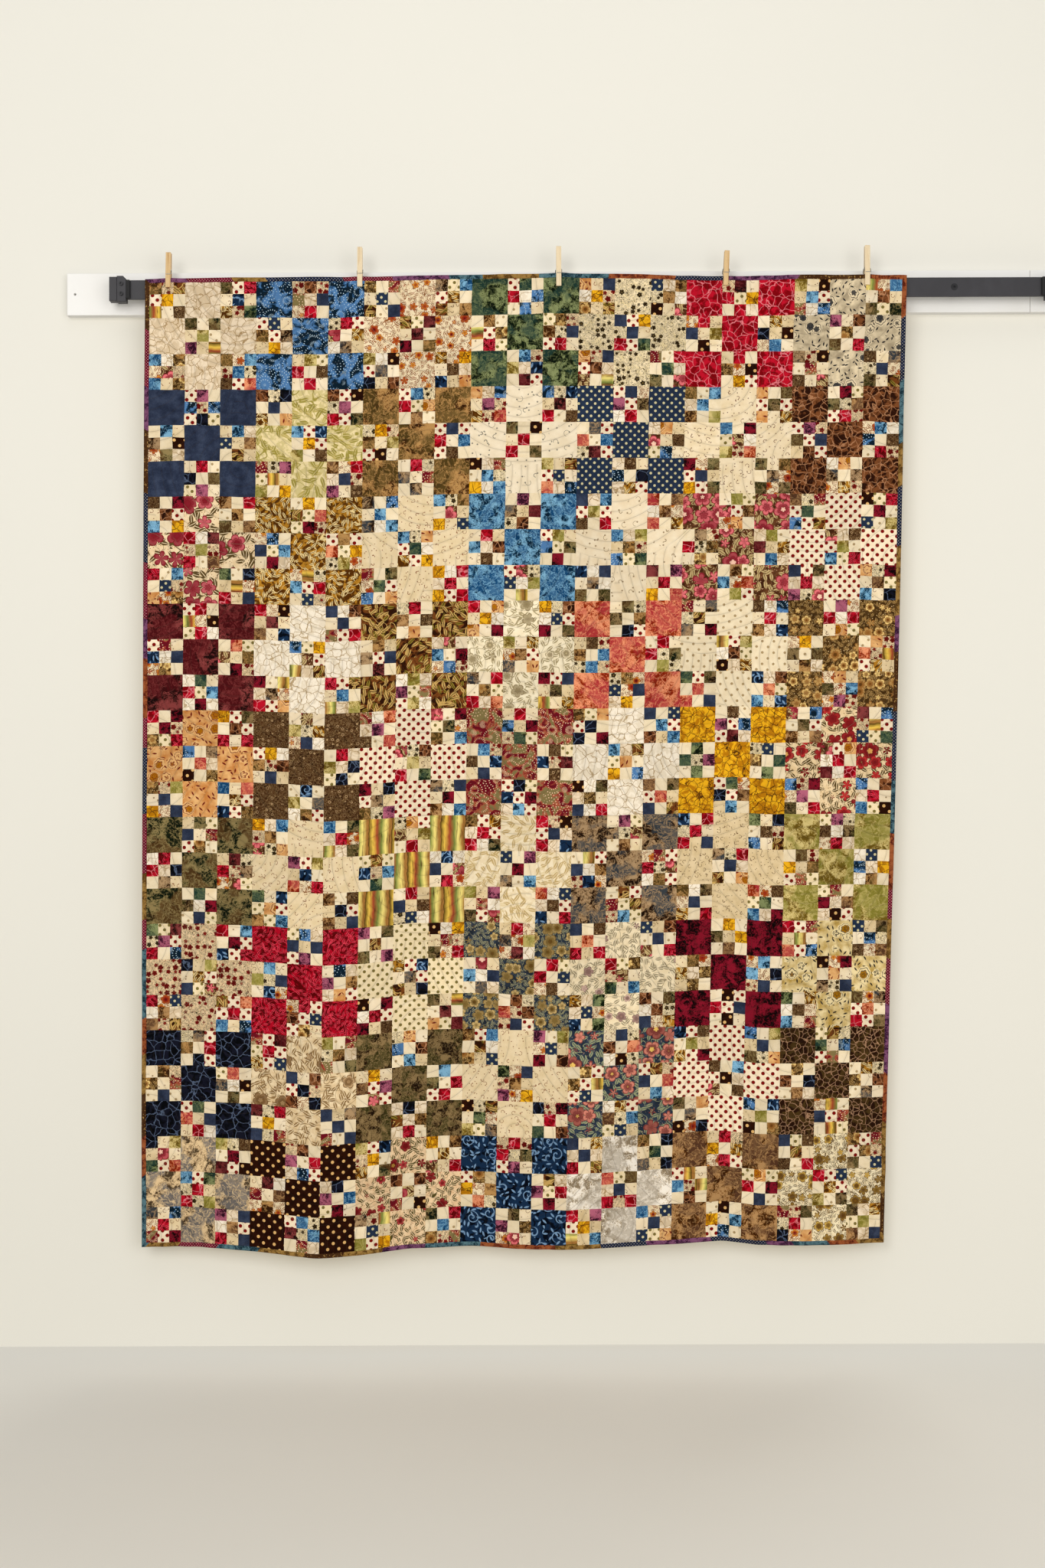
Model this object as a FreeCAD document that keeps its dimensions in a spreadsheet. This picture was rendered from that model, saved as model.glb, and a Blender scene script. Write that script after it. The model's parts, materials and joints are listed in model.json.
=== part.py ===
import FreeCAD, Part
import math
import os

import Sketcher

# A patchwork quilt pinned with clothespins to a flat steel rail, which stands off a white header board
# on a wall.  +X runs to the right along the rail, the viewer stands at -Y, the wall is at +Y, +Z is up.
# The origin lies on the wall, at the middle of the long board's two wall screws, level with the rail's
# centre line.

doc = FreeCAD.newDocument("quilt_on_a_rack")
sheet = doc.addObject("Spreadsheet::Sheet", "Sizes")
Vector = FreeCAD.Vector


class Size:
    """A length that carries both its number and the sheet formula it comes from."""

    def __init__(self, number, formula):
        self.number = float(number)
        self.formula = formula

    def __add__(self, other):
        other = as_size(other)
        return Size(self.number + other.number, f"({self.formula} + {other.formula})")

    def __sub__(self, other):
        other = as_size(other)
        return Size(self.number - other.number, f"({self.formula} - {other.formula})")

    def __mul__(self, factor):
        return Size(self.number * factor, f"({self.formula} * {factor})")

    def __truediv__(self, factor):
        return Size(self.number / factor, f"({self.formula} / {factor})")

    def __neg__(self):
        return Size(-self.number, f"(0 - {self.formula})")


def as_size(value):
    return value if isinstance(value, Size) else Size(value, f"({value})")


next_row = 1


def cell(alias, number):
    """Write one driving dimension into the sheet and hand back its Size."""
    global next_row
    sheet.set(f"A{next_row}", alias)
    sheet.set(f"B{next_row}", str(number))
    sheet.setAlias(f"B{next_row}", alias)
    next_row += 1
    return Size(number, f"Sizes.{alias}")


# ---------------------------------------------------------------- driving dimensions, millimetres
board_height = cell("board_height", 89)
board_thick = cell("board_thick", 18)
board_long = cell("board_long", 2040)
board_short = cell("board_short", 156)
board_joint = cell("board_joint", 0.6)
board_edge = cell("board_edge", 1.2)
screw_inset = cell("screw_inset", 17)
screw_hole = cell("screw_hole", 5.5)

rail_left = cell("rail_left", -922)
rail_long = cell("rail_long", 2000)
rail_height = cell("rail_height", 40)
rail_thick = cell("rail_thick", 6)
rail_edge = cell("rail_edge", 0.6)
standoff_long = cell("standoff_long", 30)
standoff_wide = cell("standoff_wide", 18)
standoff_bore = cell("standoff_bore", 8.4)
bolt_first = cell("bolt_first", 148)
bolt_pitch = cell("bolt_pitch", 406.4)
bolt_shank = cell("bolt_shank", 8)
bolt_head = cell("bolt_head", 15)
bolt_bite = cell("bolt_bite", 14)
socket_wide = cell("socket_wide", 5)
socket_deep = cell("socket_deep", 2.5)
bolt_point = cell("bolt_point", 1)
bore_room = cell("bore_room", 0.1)

quilt_left = cell("quilt_left", -846)
quilt_right = cell("quilt_right", 750)
quilt_high = cell("quilt_high", 24)
quilt_low = cell("quilt_low", -2022)
skew_left = cell("skew_left", 14)
skew_right = cell("skew_right", 57)
cloth_thick = cell("cloth_thick", 0.5)
batting_thick = cell("batting_thick", 2.4)
binding_wide = cell("binding_wide", 9)
binding_fold = cell("binding_fold", 1)
clearance = cell("clearance", 0.3)
hem_low = cell("hem_low", -2)
hem_gap = cell("hem_gap", 0.4)

pin_wide = cell("pin_wide", 10.5)
pin_tip = cell("pin_tip", 3)
pin_pivot_rise = cell("pin_pivot_rise", 36)
pin_mouth = cell("pin_mouth", 30.5)
pin_tip_thick = cell("pin_tip_thick", 4.4)
pin_end_thick = cell("pin_end_thick", 3)
pin_end_gap = cell("pin_end_gap", 7.1)
pin_nose_gap = cell("pin_nose_gap", 2)
pin_nose_slope = cell("pin_nose_slope", 1.8)
pin_nose_rise = cell("pin_nose_rise", 6)
pin_corner = cell("pin_corner", 1)
pin_jaw_middle = cell("pin_jaw_middle", 8)
handle_long = cell("handle_long", 48)
handle_short = cell("handle_short", 38)
groove_wide = cell("groove_wide", 7.8)
notch_wide = cell("notch_wide", 4.4)
notch_rise = cell("notch_rise", 9)
notch_set_back = cell("notch_set_back", 0.6)
wire_wide = cell("wire_wide", 1.5)
coil_wide = cell("coil_wide", 7.2)
arm_drop = cell("arm_drop", 8.5)
arm_groove = cell("arm_groove", 0.6)
arm_bend = cell("arm_bend", 1.4)
coil_overhang = cell("coil_overhang", 0.3)

stop_clamp_wide = cell("stop_clamp_wide", 16)
stop_clamp_high = cell("stop_clamp_high", 50)
stop_block_wide = cell("stop_block_wide", 19)
stop_block_high = cell("stop_block_high", 54)
stop_front = cell("stop_front", 9)
stop_back = cell("stop_back", 6)
stop_corner = cell("stop_corner", 6)
stop_fit = cell("stop_fit", 0.3)
stop_edge = cell("stop_edge", 0.8)
bumper_long = cell("bumper_long", 8)
bumper_high = cell("bumper_high", 38)
bumper_set_back = cell("bumper_set_back", 1)
stop_socket_wide = cell("stop_socket_wide", 4)
stop_socket_deep = cell("stop_socket_deep", 2)
stop_screw_wide = cell("stop_screw_wide", 5)
stop_screw_head = cell("stop_screw_head", 8.5)
stop_head_high = cell("stop_head_high", 3)
stop_screw_pitch = cell("stop_screw_pitch", 21)

BOLT_COUNT = 5
COIL_TURNS = 7
SOCKET_SIDES = 6
PAST = 5  # how far a cutting outline runs past the piece that it cuts
# Each clothespin: its place along the rail, its lean to the right in degrees, and whether it is long.
PINS = (
    (-798.0, 0.6, False),
    (-396.0, 0.0, True),
    (21.0, 0.0, True),
    (371.0, 3.0, False),
    (668.0, 0.5, True),
)

# ---------------------------------------------------------------- derived places
rail_back = board_thick + standoff_long
rail_front = rail_back + rail_thick
rail_right = rail_left + rail_long
binding_back = rail_front + clearance
layers_back = binding_back + cloth_thick
layers_front = layers_back + batting_thick + cloth_thick * 2
binding_front = layers_front + cloth_thick
board_left = -(board_long / 2)
board_right = board_long / 2
drop_high = hem_low - hem_gap
jaw_front = binding_front + clearance
jaw_back = rail_back - clearance
pin_middle = (jaw_front + jaw_back) / 2
pin_pivot = pin_tip + pin_pivot_rise

doc.recompute()


# ---------------------------------------------------------------- helpers
def plane(body, role):
    return [item for item in body.Origin.OriginFeatures if item.Role == role][0]


def bind(item, name, size):
    """Give a property its number and tie it to the sheet."""
    size = as_size(size)
    setattr(item, name, size.number)
    item.setExpression(name, size.formula)


def new_sketch(body, name, role, start=None):
    """A sketch on one of the body's own planes, lifted off it by start.

    On XZ_Plane the sketch reads X, Z and its normal points at the viewer, on YZ_Plane it reads Y, Z
    and its normal is +X, and on XY_Plane it reads X, Y and its normal is +Z.
    """
    sketch = body.newObject("Sketcher::SketchObject", name)
    sketch.AttachmentSupport = [(plane(body, role), "")]
    sketch.MapMode = "FlatFace"
    if start is not None:
        start = as_size(start)
        sketch.AttachmentOffset = FreeCAD.Placement(Vector(0, 0, start.number), FreeCAD.Rotation())
        sketch.setExpression("AttachmentOffset.Base.z", start.formula)
    return sketch


def hold_point(sketch, edge, end, across, up):
    """Tie one end of a sketch edge, or a circle's centre, to sheet formulas."""
    for kind, size in (("DistanceX", across), ("DistanceY", up)):
        index = sketch.addConstraint(Sketcher.Constraint(kind, -1, 1, edge, end, size.number))
        sketch.setExpression(f"Constraints[{index}]", size.formula)


def draw_outline(sketch, points):
    """A closed outline of straight edges through the given points."""
    points = [(as_size(across), as_size(up)) for across, up in points]
    first = sketch.GeometryCount
    count = len(points)
    for index, (across, up) in enumerate(points):
        next_across, next_up = points[(index + 1) % count]
        start = Vector(across.number, up.number, 0)
        end = Vector(next_across.number, next_up.number, 0)
        sketch.addGeometry(Part.LineSegment(start, end), False)
    for index in range(count):
        following = first + (index + 1) % count
        sketch.addConstraint(Sketcher.Constraint("Coincident", first + index, 2, following, 1))
    for index, (across, up) in enumerate(points):
        hold_point(sketch, first + index, 1, across, up)


def draw_box(sketch, left, right, low, high):
    draw_outline(sketch, [(left, low), (right, low), (right, high), (left, high)])


def draw_circle(sketch, across, up, wide):
    across, up, radius = as_size(across), as_size(up), as_size(wide) / 2
    centre = Vector(across.number, up.number, 0)
    edge = sketch.addGeometry(Part.Circle(centre, Vector(0, 0, 1), radius.number), False)
    hold_point(sketch, edge, 3, across, up)
    index = sketch.addConstraint(Sketcher.Constraint("Radius", edge, radius.number))
    sketch.setExpression(f"Constraints[{index}]", radius.formula)


def new_body(name):
    body = doc.addObject("PartDesign::Body", name)
    body.Label = name
    return body


def pad(body, sketch, length, both_ways=False):
    feature = body.newObject("PartDesign::Pad", sketch.Name + "_pad")
    feature.Profile = sketch
    feature.Midplane = both_ways
    bind(feature, "Length", length)
    body.Tip = feature
    doc.recompute()
    return feature


def pocket(body, sketch, length, reverse=False, both_ways=False):
    """Cut a sketch into the body, and stop if nothing was cut."""
    before = body.Shape.Volume
    feature = body.newObject("PartDesign::Pocket", sketch.Name + "_pocket")
    feature.Profile = sketch
    feature.Midplane = both_ways
    feature.Reversed = reverse
    bind(feature, "Length", length)
    body.Tip = feature
    doc.recompute()
    if body.Shape.Volume > before - 0.01:
        raise RuntimeError(f"{sketch.Name} cuts nothing")
    return feature


def edges_where(body, test):
    """The names of the tip's edges that pass a test."""
    edges = enumerate(body.Tip.Shape.Edges, start=1)
    return [f"Edge{number}" for number, edge in edges if test(edge)]


def soften(body, kind, size, test):
    """Round ("Fillet", "Radius") or bevel ("Chamfer", "Size") the edges that pass a test."""
    names = edges_where(body, test)
    base = body.Tip
    feature = body.newObject("PartDesign::" + kind, f"{body.Name}_{kind.lower()}")
    feature.Base = (base, names)
    bind(feature, "Radius" if kind == "Fillet" else "Size", size)
    body.Tip = feature
    doc.recompute()
    return feature


def ends(edge):
    return [vertex.Point for vertex in edge.Vertexes]


def near(value, target):
    return abs(value - target) < 0.001


def front_plate(name, left, right, low, high, back, thick):
    """A flat rectangular plate, seen from the front; back is how far it stands off the wall."""
    body = new_body(name)
    sketch = new_sketch(body, name + "_outline", "XZ_Plane", back)
    draw_box(sketch, left, right, low, high)
    pad(body, sketch, thick)
    return body


subparts = []


def finish(item):
    subparts.append(item)
    return item


# ---------------------------------------------------------------- header boards
def header_board(name, left, right, bolt_places):
    body = front_plate(name, left, right, -(board_height / 2), board_height / 2, 0, board_thick)
    screws = new_sketch(body, name + "_screws", "XZ_Plane", 0)
    draw_circle(screws, left + screw_inset, 0, screw_hole)
    draw_circle(screws, right - screw_inset, 0, screw_hole)
    pocket(body, screws, board_thick * 2, reverse=True)
    if bolt_places:
        bolts = new_sketch(body, name + "_bolts", "XZ_Plane", board_thick)
        for place in bolt_places:
            draw_circle(bolts, place, 0, bolt_shank + bore_room)
        pocket(body, bolts, bolt_bite + bolt_point / 2)
    front = -board_thick.number

    def on_front_border(edge):
        straight = len(edge.Vertexes) == 2
        return straight and all(near(point.y, front) for point in ends(edge))

    soften(body, "Fillet", board_edge, on_front_border)
    return finish(body)


bolt_places = [rail_left + bolt_first + bolt_pitch * number for number in range(BOLT_COUNT)]
header_board("header_board_long", board_left, board_right, bolt_places)
header_board("header_board_short", board_right + board_joint, board_right + board_joint + board_short, [])


# ---------------------------------------------------------------- rail, standoffs and their bolts
def rail():
    half = rail_height / 2
    body = front_plate("rail", rail_left, rail_right, -half, half, rail_back, rail_thick)
    holes = new_sketch(body, "rail_holes", "XZ_Plane", rail_front)
    for place in bolt_places:
        draw_circle(holes, place, 0, standoff_bore)
    pocket(body, holes, rail_thick * 2)
    front = -rail_front.number
    back = -rail_back.number

    def hole_mouth(edge):
        return len(edge.Vertexes) == 1 and near(edge.Vertexes[0].Y, front)

    soften(body, "Chamfer", (bolt_head - standoff_bore) / 2, hole_mouth)

    def long_border(edge):
        places = ends(edge)
        if len(places) != 2 or not all(near(abs(point.z), half.number) for point in places):
            return False
        return near(places[0].y, places[1].y) and (near(places[0].y, front) or near(places[0].y, back))

    names = edges_where(body, long_border)
    base = body.Tip
    feature = body.newObject("PartDesign::Fillet", "rail_long_edges")
    feature.Base = (base, names)
    bind(feature, "Radius", rail_edge)
    body.Tip = feature
    doc.recompute()
    return finish(body)


def standoff(number, place):
    body = new_body(f"standoff_{number}")
    sketch = new_sketch(body, f"standoff_{number}_ring", "XZ_Plane", board_thick)
    draw_circle(sketch, place, 0, standoff_wide)
    draw_circle(sketch, place, 0, standoff_bore)
    pad(body, sketch, standoff_long)
    return finish(body)


def rail_bolts():
    """One countersunk socket bolt, turned about its own line, and copies of it at the pitch."""
    body = new_body("rail_bolt")
    profile = new_sketch(body, "rail_bolt_profile", "YZ_Plane")
    cone = (bolt_head - bolt_shank) / 2
    tip = board_thick - bolt_bite
    draw_outline(profile, [
        (-rail_front, 0),
        (-rail_front, bolt_head / 2),
        (-rail_front + cone, bolt_shank / 2),
        (-tip - bolt_point, bolt_shank / 2),
        (-tip, bolt_shank / 2 - bolt_point),
        (-tip, 0),
    ])
    turned = body.newObject("PartDesign::Revolution", "rail_bolt_turned")
    turned.Profile = profile
    turned.ReferenceAxis = (profile, ["H_Axis"])
    turned.Angle = 360
    body.Tip = turned
    doc.recompute()
    socket = new_sketch(body, "rail_bolt_socket", "XZ_Plane", rail_front)
    corners = [math.tau * step / SOCKET_SIDES for step in range(SOCKET_SIDES)]
    reach = socket_wide / math.sqrt(3)
    draw_outline(socket, [(reach * math.cos(turn), reach * math.sin(turn)) for turn in corners])
    pocket(body, socket, socket_deep)
    copies = []
    for number, place in enumerate(bolt_places, start=1):
        link = doc.addObject("App::Link", f"rail_bolt_at_{number}")
        link.LinkedObject = body
        link.Placement = FreeCAD.Placement(Vector(place.number, 0, 0), FreeCAD.Rotation())
        link.setExpression("Placement.Base.x", place.formula)
        copies.append(link)
    group = doc.addObject("Part::Compound", "rail_bolts")
    group.Label = "rail_bolts"
    group.Links = copies
    return finish(group)


rail()
for bolt_number, bolt_place in enumerate(bolt_places, start=1):
    standoff(bolt_number, bolt_place)
rail_bolts()


# ---------------------------------------------------------------- quilt: clamped hem and free drop
# Seen from the front, the drop leans a little to the left and narrows towards its lower edge.
def hem_layer(name, back, thick):
    left = quilt_left + binding_fold
    right = quilt_right - binding_fold
    high = quilt_high - binding_fold
    return finish(front_plate(name, left, right, hem_low, high, back, thick))


def drop_outline(inset):
    """The four corners of the drop, drawn in by inset on its sides and lower edge."""
    low = quilt_low + inset
    return [
        (quilt_left + inset, drop_high),
        (quilt_left - skew_left + inset, low),
        (quilt_right - skew_right - inset, low),
        (quilt_right - inset, drop_high),
    ]


def drop_layer(name, back, thick):
    body = new_body(name)
    sketch = new_sketch(body, name + "_outline", "XZ_Plane", back)
    draw_outline(sketch, drop_outline(binding_fold))
    pad(body, sketch, thick)
    return finish(body)


def hem_binding():
    """An upside-down U of folded cloth that wraps the hem's top and sides."""
    body = new_body("hem_binding")
    outline = new_sketch(body, "hem_binding_outline", "XZ_Plane", binding_back)
    inner_left = quilt_left + binding_wide
    inner_right = quilt_right - binding_wide
    draw_outline(outline, [
        (quilt_left, hem_low),
        (quilt_left, quilt_high),
        (quilt_right, quilt_high),
        (quilt_right, hem_low),
        (inner_right, hem_low),
        (inner_right, quilt_high - binding_wide),
        (inner_left, quilt_high - binding_wide),
        (inner_left, hem_low),
    ])
    pad(body, outline, binding_front - binding_back)
    slot = new_sketch(body, "hem_binding_slot", "XZ_Plane", layers_front)
    left = quilt_left + binding_fold
    right = quilt_right - binding_fold
    draw_box(slot, left, right, hem_low - PAST, quilt_high - binding_fold)
    pocket(body, slot, layers_front - layers_back)
    return finish(body)


def drop_binding():
    """A U of folded cloth that wraps the drop's sides and lower edge."""
    body = new_body("quilt_binding")
    outline = new_sketch(body, "quilt_binding_outline", "XZ_Plane", binding_back)
    draw_outline(outline, drop_outline(0) + drop_outline(binding_wide)[::-1])
    pad(body, outline, binding_front - binding_back)
    slot = new_sketch(body, "quilt_binding_slot", "XZ_Plane", layers_front)
    corners = drop_outline(binding_fold)
    top_left, low_left, low_right, top_right = corners
    above = drop_high + PAST
    draw_outline(slot, [(top_left[0], above), top_left, low_left, low_right, top_right,
                        (top_right[0], above)])
    pocket(body, slot, layers_front - layers_back)
    return finish(body)


batting_back = layers_back + cloth_thick
front_cloth_back = batting_back + batting_thick
hem_layer("hem_backing", layers_back, cloth_thick)
hem_layer("hem_batting", batting_back, batting_thick)
hem_layer("hem_top", front_cloth_back, cloth_thick)
hem_binding()
drop_layer("quilt_backing", layers_back, cloth_thick)
drop_layer("quilt_batting", batting_back, batting_thick)
drop_layer("quilt_top", front_cloth_back, cloth_thick)
drop_binding()


# ---------------------------------------------------------------- clothespins
def lean(body, place, degrees):
    """Set a clothespin piece at its place on the rail, leaning about the middle of its jaws."""
    jaws = Vector(0, 0, (pin_tip + pin_jaw_middle).number)
    turn = FreeCAD.Rotation(Vector(0, 1, 0), degrees)
    body.Placement = FreeCAD.Placement(Vector(place, 0, 0), turn, jaws)


def lever_depth(side, depth):
    """A depth measured from the pivot, towards the viewer on the front lever."""
    return (-pin_middle) + depth * (-side)


def outer_depth(rise, handle):
    """How far from the pivot line the lever's straight outer face is, at a rise above the tips."""
    tip_depth = (jaw_front - jaw_back) / 2 + pin_tip_thick
    end_depth = pin_end_gap / 2 + pin_end_thick
    share = rise / (pin_pivot_rise.number + handle.number)
    return tip_depth + (end_depth - tip_depth) * share


def lever(name, side, handle):
    """One wooden lever: jaw below, a groove for the coil, a thin handle above.

    side is 1 for the front lever and -1 for the rear one.
    """
    body = new_body(name)
    profile = new_sketch(body, name + "_profile", "YZ_Plane")
    jaw = (jaw_front - jaw_back) / 2
    top = pin_pivot + handle
    nose = pin_nose_gap / 2
    rise = pin_pivot_rise.number + handle.number
    corner = pin_corner.number
    outline = [
        (jaw, pin_tip + pin_corner),
        (jaw, pin_tip + pin_mouth),
        (nose, pin_tip + pin_mouth + pin_nose_slope),
        (nose, pin_pivot + pin_nose_rise),
        (pin_end_gap / 2, top - pin_corner),
        (pin_end_gap / 2 + pin_corner, top),
        (outer_depth(rise, handle) - pin_corner, top),
        (outer_depth(rise - corner, handle), top - pin_corner),
        (outer_depth(corner, handle), pin_tip + pin_corner),
        (outer_depth(0, handle) - pin_corner, pin_tip),
        (jaw + pin_corner, pin_tip),
    ]
    draw_outline(profile, [(lever_depth(side, depth), height) for depth, height in outline])
    pad(body, profile, pin_wide, both_ways=True)
    groove = new_sketch(body, name + "_coil_groove", "YZ_Plane")
    draw_circle(groove, -pin_middle, pin_pivot, groove_wide)
    pocket(body, groove, pin_wide * 2, both_ways=True)
    notch = new_sketch(body, name + "_grip_notch", "YZ_Plane")
    draw_circle(notch, lever_depth(side, jaw - notch_set_back), pin_tip + notch_rise, notch_wide)
    pocket(body, notch, pin_wide * 2, both_ways=True)
    arm_seat = new_sketch(body, name + "_arm_groove", "YZ_Plane")
    draw_circle(arm_seat, lever_depth(side, arm_depth(handle)), pin_pivot - arm_drop, wire_wide + bore_room)
    pocket(body, arm_seat, pin_wide * 2, both_ways=True)
    return body


def arm_depth(handle):
    """Depth of the spring arm's centre line where it crosses a lever's outer face."""
    rise = pin_pivot_rise.number - arm_drop.number
    return outer_depth(rise, handle) + wire_wide / 2 - arm_groove


def coil_long():
    return pin_wide + coil_overhang * 2


def arm_wire(side, handle):
    """A round wire from the coil's end down the lever's side, bent across its outer face."""
    beside = side * (coil_long().number / 2 + clearance.number + wire_wide.number / 2)
    far = -side * (pin_wide.number / 2 - wire_wide.number)
    coil_edge = lever_depth(side, (coil_wide - wire_wide) / 2).number
    across = lever_depth(side, arm_depth(handle)).number
    low = (pin_pivot - arm_drop).number
    start = Vector(beside, coil_edge, pin_pivot.number)
    corner = Vector(beside, across, low)
    end = Vector(far, across, low)
    down = (start - corner).normalize()
    inward = (end - corner).normalize()
    bend = arm_bend.number
    setback = bend / math.tan(down.getAngle(inward) / 2)
    first = corner + down * setback
    second = corner + inward * setback
    middle_way = (down + inward).normalize()
    centre = corner + middle_way * math.hypot(bend, setback)
    middle = centre - middle_way * bend
    route = Part.Wire([
        Part.LineSegment(start, first).toShape(),
        Part.Arc(first, middle, second).toShape(),
        Part.LineSegment(second, end).toShape(),
    ])
    ring = Part.Circle(start, first - start, wire_wide.number / 2).toShape()
    return route.makePipeShell([Part.Wire([ring])], True, False)


def coil_shape():
    """The coil as a turned bush with one round bead for each turn of wire."""
    radius = wire_wide.number / 2
    outer = coil_wide.number / 2
    pitch = coil_long().number / COIL_TURNS
    left = -coil_long().number / 2
    edges = []
    for turn in range(COIL_TURNS):
        start = Vector(left + pitch * turn, 0, outer - radius)
        crown = Vector(left + pitch * (turn + 0.5), 0, outer)
        end = Vector(left + pitch * (turn + 1), 0, outer - radius)
        edges.append(Part.Arc(start, crown, end).toShape())
    inner = outer - wire_wide.number
    corners = [Vector(-left, 0, outer - radius), Vector(-left, 0, inner), Vector(left, 0, inner),
               Vector(left, 0, outer - radius)]
    for start, end in zip(corners, corners[1:]):
        edges.append(Part.LineSegment(start, end).toShape())
    face = Part.Face(Part.Wire(edges))
    coil = face.revolve(Vector(0, 0, 0), Vector(1, 0, 0), 360)
    coil.translate(Vector(0, -pin_middle.number, pin_pivot.number))
    return coil


def spring_piece(name, shape, place, degrees):
    piece = doc.addObject("Part::Feature", name)
    piece.Label = name
    piece.Shape = shape
    lean(piece, place, degrees)
    return finish(piece)


def clothespin(number, place, degrees, is_long):
    handle = handle_long if is_long else handle_short
    for side, word in ((1, "front"), (-1, "rear")):
        body = lever(f"pin_{number}_{word}_lever", side, handle)
        lean(body, place, degrees)
        finish(body)
    rear_arm = arm_wire(-1, handle)
    coil = coil_shape()
    spring_piece(f"pin_{number}_spring_coil", Part.makeCompound([coil, rear_arm]), place, degrees)
    spring_piece(f"pin_{number}_spring_arm", arm_wire(1, handle), place, degrees)


for pin_number, (pin_place, pin_lean, pin_is_long) in enumerate(PINS, start=1):
    clothespin(pin_number, pin_place, pin_lean, pin_is_long)


# ---------------------------------------------------------------- end stops
def stop_ring(name, left, right, high, corner_side):
    """A block that wraps the rail; the corner on corner_side is cut off at its top."""
    body = new_body(name)
    half = high / 2
    outline = new_sketch(body, name + "_outline", "XZ_Plane", rail_back - stop_back)
    if corner_side > 0:
        top = [(right, half - stop_corner), (right - stop_corner, half), (left, half)]
    elif corner_side < 0:
        top = [(right, half), (left + stop_corner, half), (left, half - stop_corner)]
    else:
        top = [(right, half), (left, half)]
    draw_outline(outline, [(left, -half), (right, -half)] + top)
    pad(body, outline, stop_back + rail_thick + stop_front)
    tunnel = new_sketch(body, name + "_tunnel", "YZ_Plane", left - PAST)
    reach = rail_height / 2 + stop_fit
    draw_box(tunnel, -rail_front - stop_fit, -rail_back + stop_fit, -reach, reach)
    pocket(body, tunnel, right - left + PAST * 2, reverse=True)
    return body


def screw_rows():
    return (stop_screw_pitch / 2, -(stop_screw_pitch / 2))


def bevel_front(body, front):
    """Bevel the straight edges around a block's front face."""
    def on_front(edge):
        places = ends(edge)
        return len(places) == 2 and all(near(point.y, front) for point in places)

    soften(body, "Chamfer", stop_edge, on_front)


def end_stop(word, outer_end, inward):
    """A two-part stop with a rubber bumper; inward is 1 when the quilt lies towards +X."""
    clamp_inner = outer_end + stop_clamp_wide * inward
    block_inner = clamp_inner + stop_block_wide * inward
    front = rail_front + stop_front

    def low_high(first, second):
        return (first, second) if inward > 0 else (second, first)

    left, right = low_high(outer_end, clamp_inner)
    clamp = stop_ring(f"stop_{word}_clamp", left, right, stop_clamp_high, 0)
    bevel_front(clamp, -front.number)
    finish(clamp)

    left, right = low_high(clamp_inner, block_inner)
    block = stop_ring(f"stop_{word}_block", left, right, stop_block_high, inward)
    middle = (left + right) / 2
    bevel_front(block, -front.number)
    holes = new_sketch(block, f"stop_{word}_screw_holes", "XZ_Plane", front)
    for height in screw_rows():
        draw_circle(holes, middle, height, stop_screw_wide + bore_room)
    pocket(block, holes, stop_front)
    finish(block)

    left, right = low_high(block_inner, block_inner + bumper_long * inward)
    bumper = new_body(f"stop_{word}_bumper")
    face = new_sketch(bumper, f"stop_{word}_bumper_outline", "YZ_Plane", left)
    draw_box(face, -front + bumper_set_back, -rail_front - stop_fit, -(bumper_high / 2), bumper_high / 2)
    pad(bumper, face, right - left)
    inner_face = (right if inward > 0 else left).number

    def on_inner(edge):
        places = ends(edge)
        return len(places) == 2 and all(near(point.x, inner_face) for point in places)

    soften(bumper, "Fillet", stop_edge * 2, on_inner)
    finish(bumper)

    screws = []
    for number, height in enumerate(screw_rows(), start=1):
        screw = new_body(f"stop_{word}_screw_{number}")
        head = new_sketch(screw, screw.Name + "_head", "XZ_Plane", front)
        draw_circle(head, middle, height, stop_screw_head)
        pad(screw, head, stop_head_high)
        shank = new_sketch(screw, screw.Name + "_shank", "XZ_Plane", rail_front + clearance)
        draw_circle(shank, middle, height, stop_screw_wide)
        pad(screw, shank, stop_front - clearance)
        socket = new_sketch(screw, screw.Name + "_socket", "XZ_Plane", front + stop_head_high)
        draw_circle(socket, middle, height, stop_socket_wide)
        pocket(screw, socket, stop_socket_deep)
        screws.append(screw)
    group = doc.addObject("Part::Compound", f"stop_{word}_screws")
    group.Label = f"stop_{word}_screws"
    group.Links = screws
    finish(group)


end_stop("left", rail_left + 1, 1)
end_stop("right", rail_right - 1, -1)

# ---------------------------------------------------------------- check and write
doc.recompute()
for item in doc.Objects:
    if "Invalid" in item.State or "Error" in item.State:
        raise RuntimeError(f"{item.Label} did not build: {item.State}")
os.makedirs("parts", exist_ok=True)
for part in subparts:
    if part.Shape.isNull() or not part.Shape.isValid():
        raise RuntimeError(f"{part.Label} has no valid shape")
    part.Shape.exportStep(f"parts/{part.Label}.step")
    print(part.Label, len(part.Shape.Solids), round(part.Shape.Volume / 1000, 2), "cm3")
print(len(subparts), "sub-parts")
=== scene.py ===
# %% [markdown]
# # A patchwork quilt on a wall rail
#
# The real thing is a scrap quilt of nine-patches and plain squares, hung by five wooden clothespins from
# a flat black steel rail.  The rail, its standoffs, the end stops and the header boards come from the
# design and are only given their finishes here.  The cloth is made here: it is hung by a cloth
# simulation, and the pieced top, the backing and the binding are then laid on the hung sheet.

# %% Load the frame
import json
import math
import random

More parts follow.
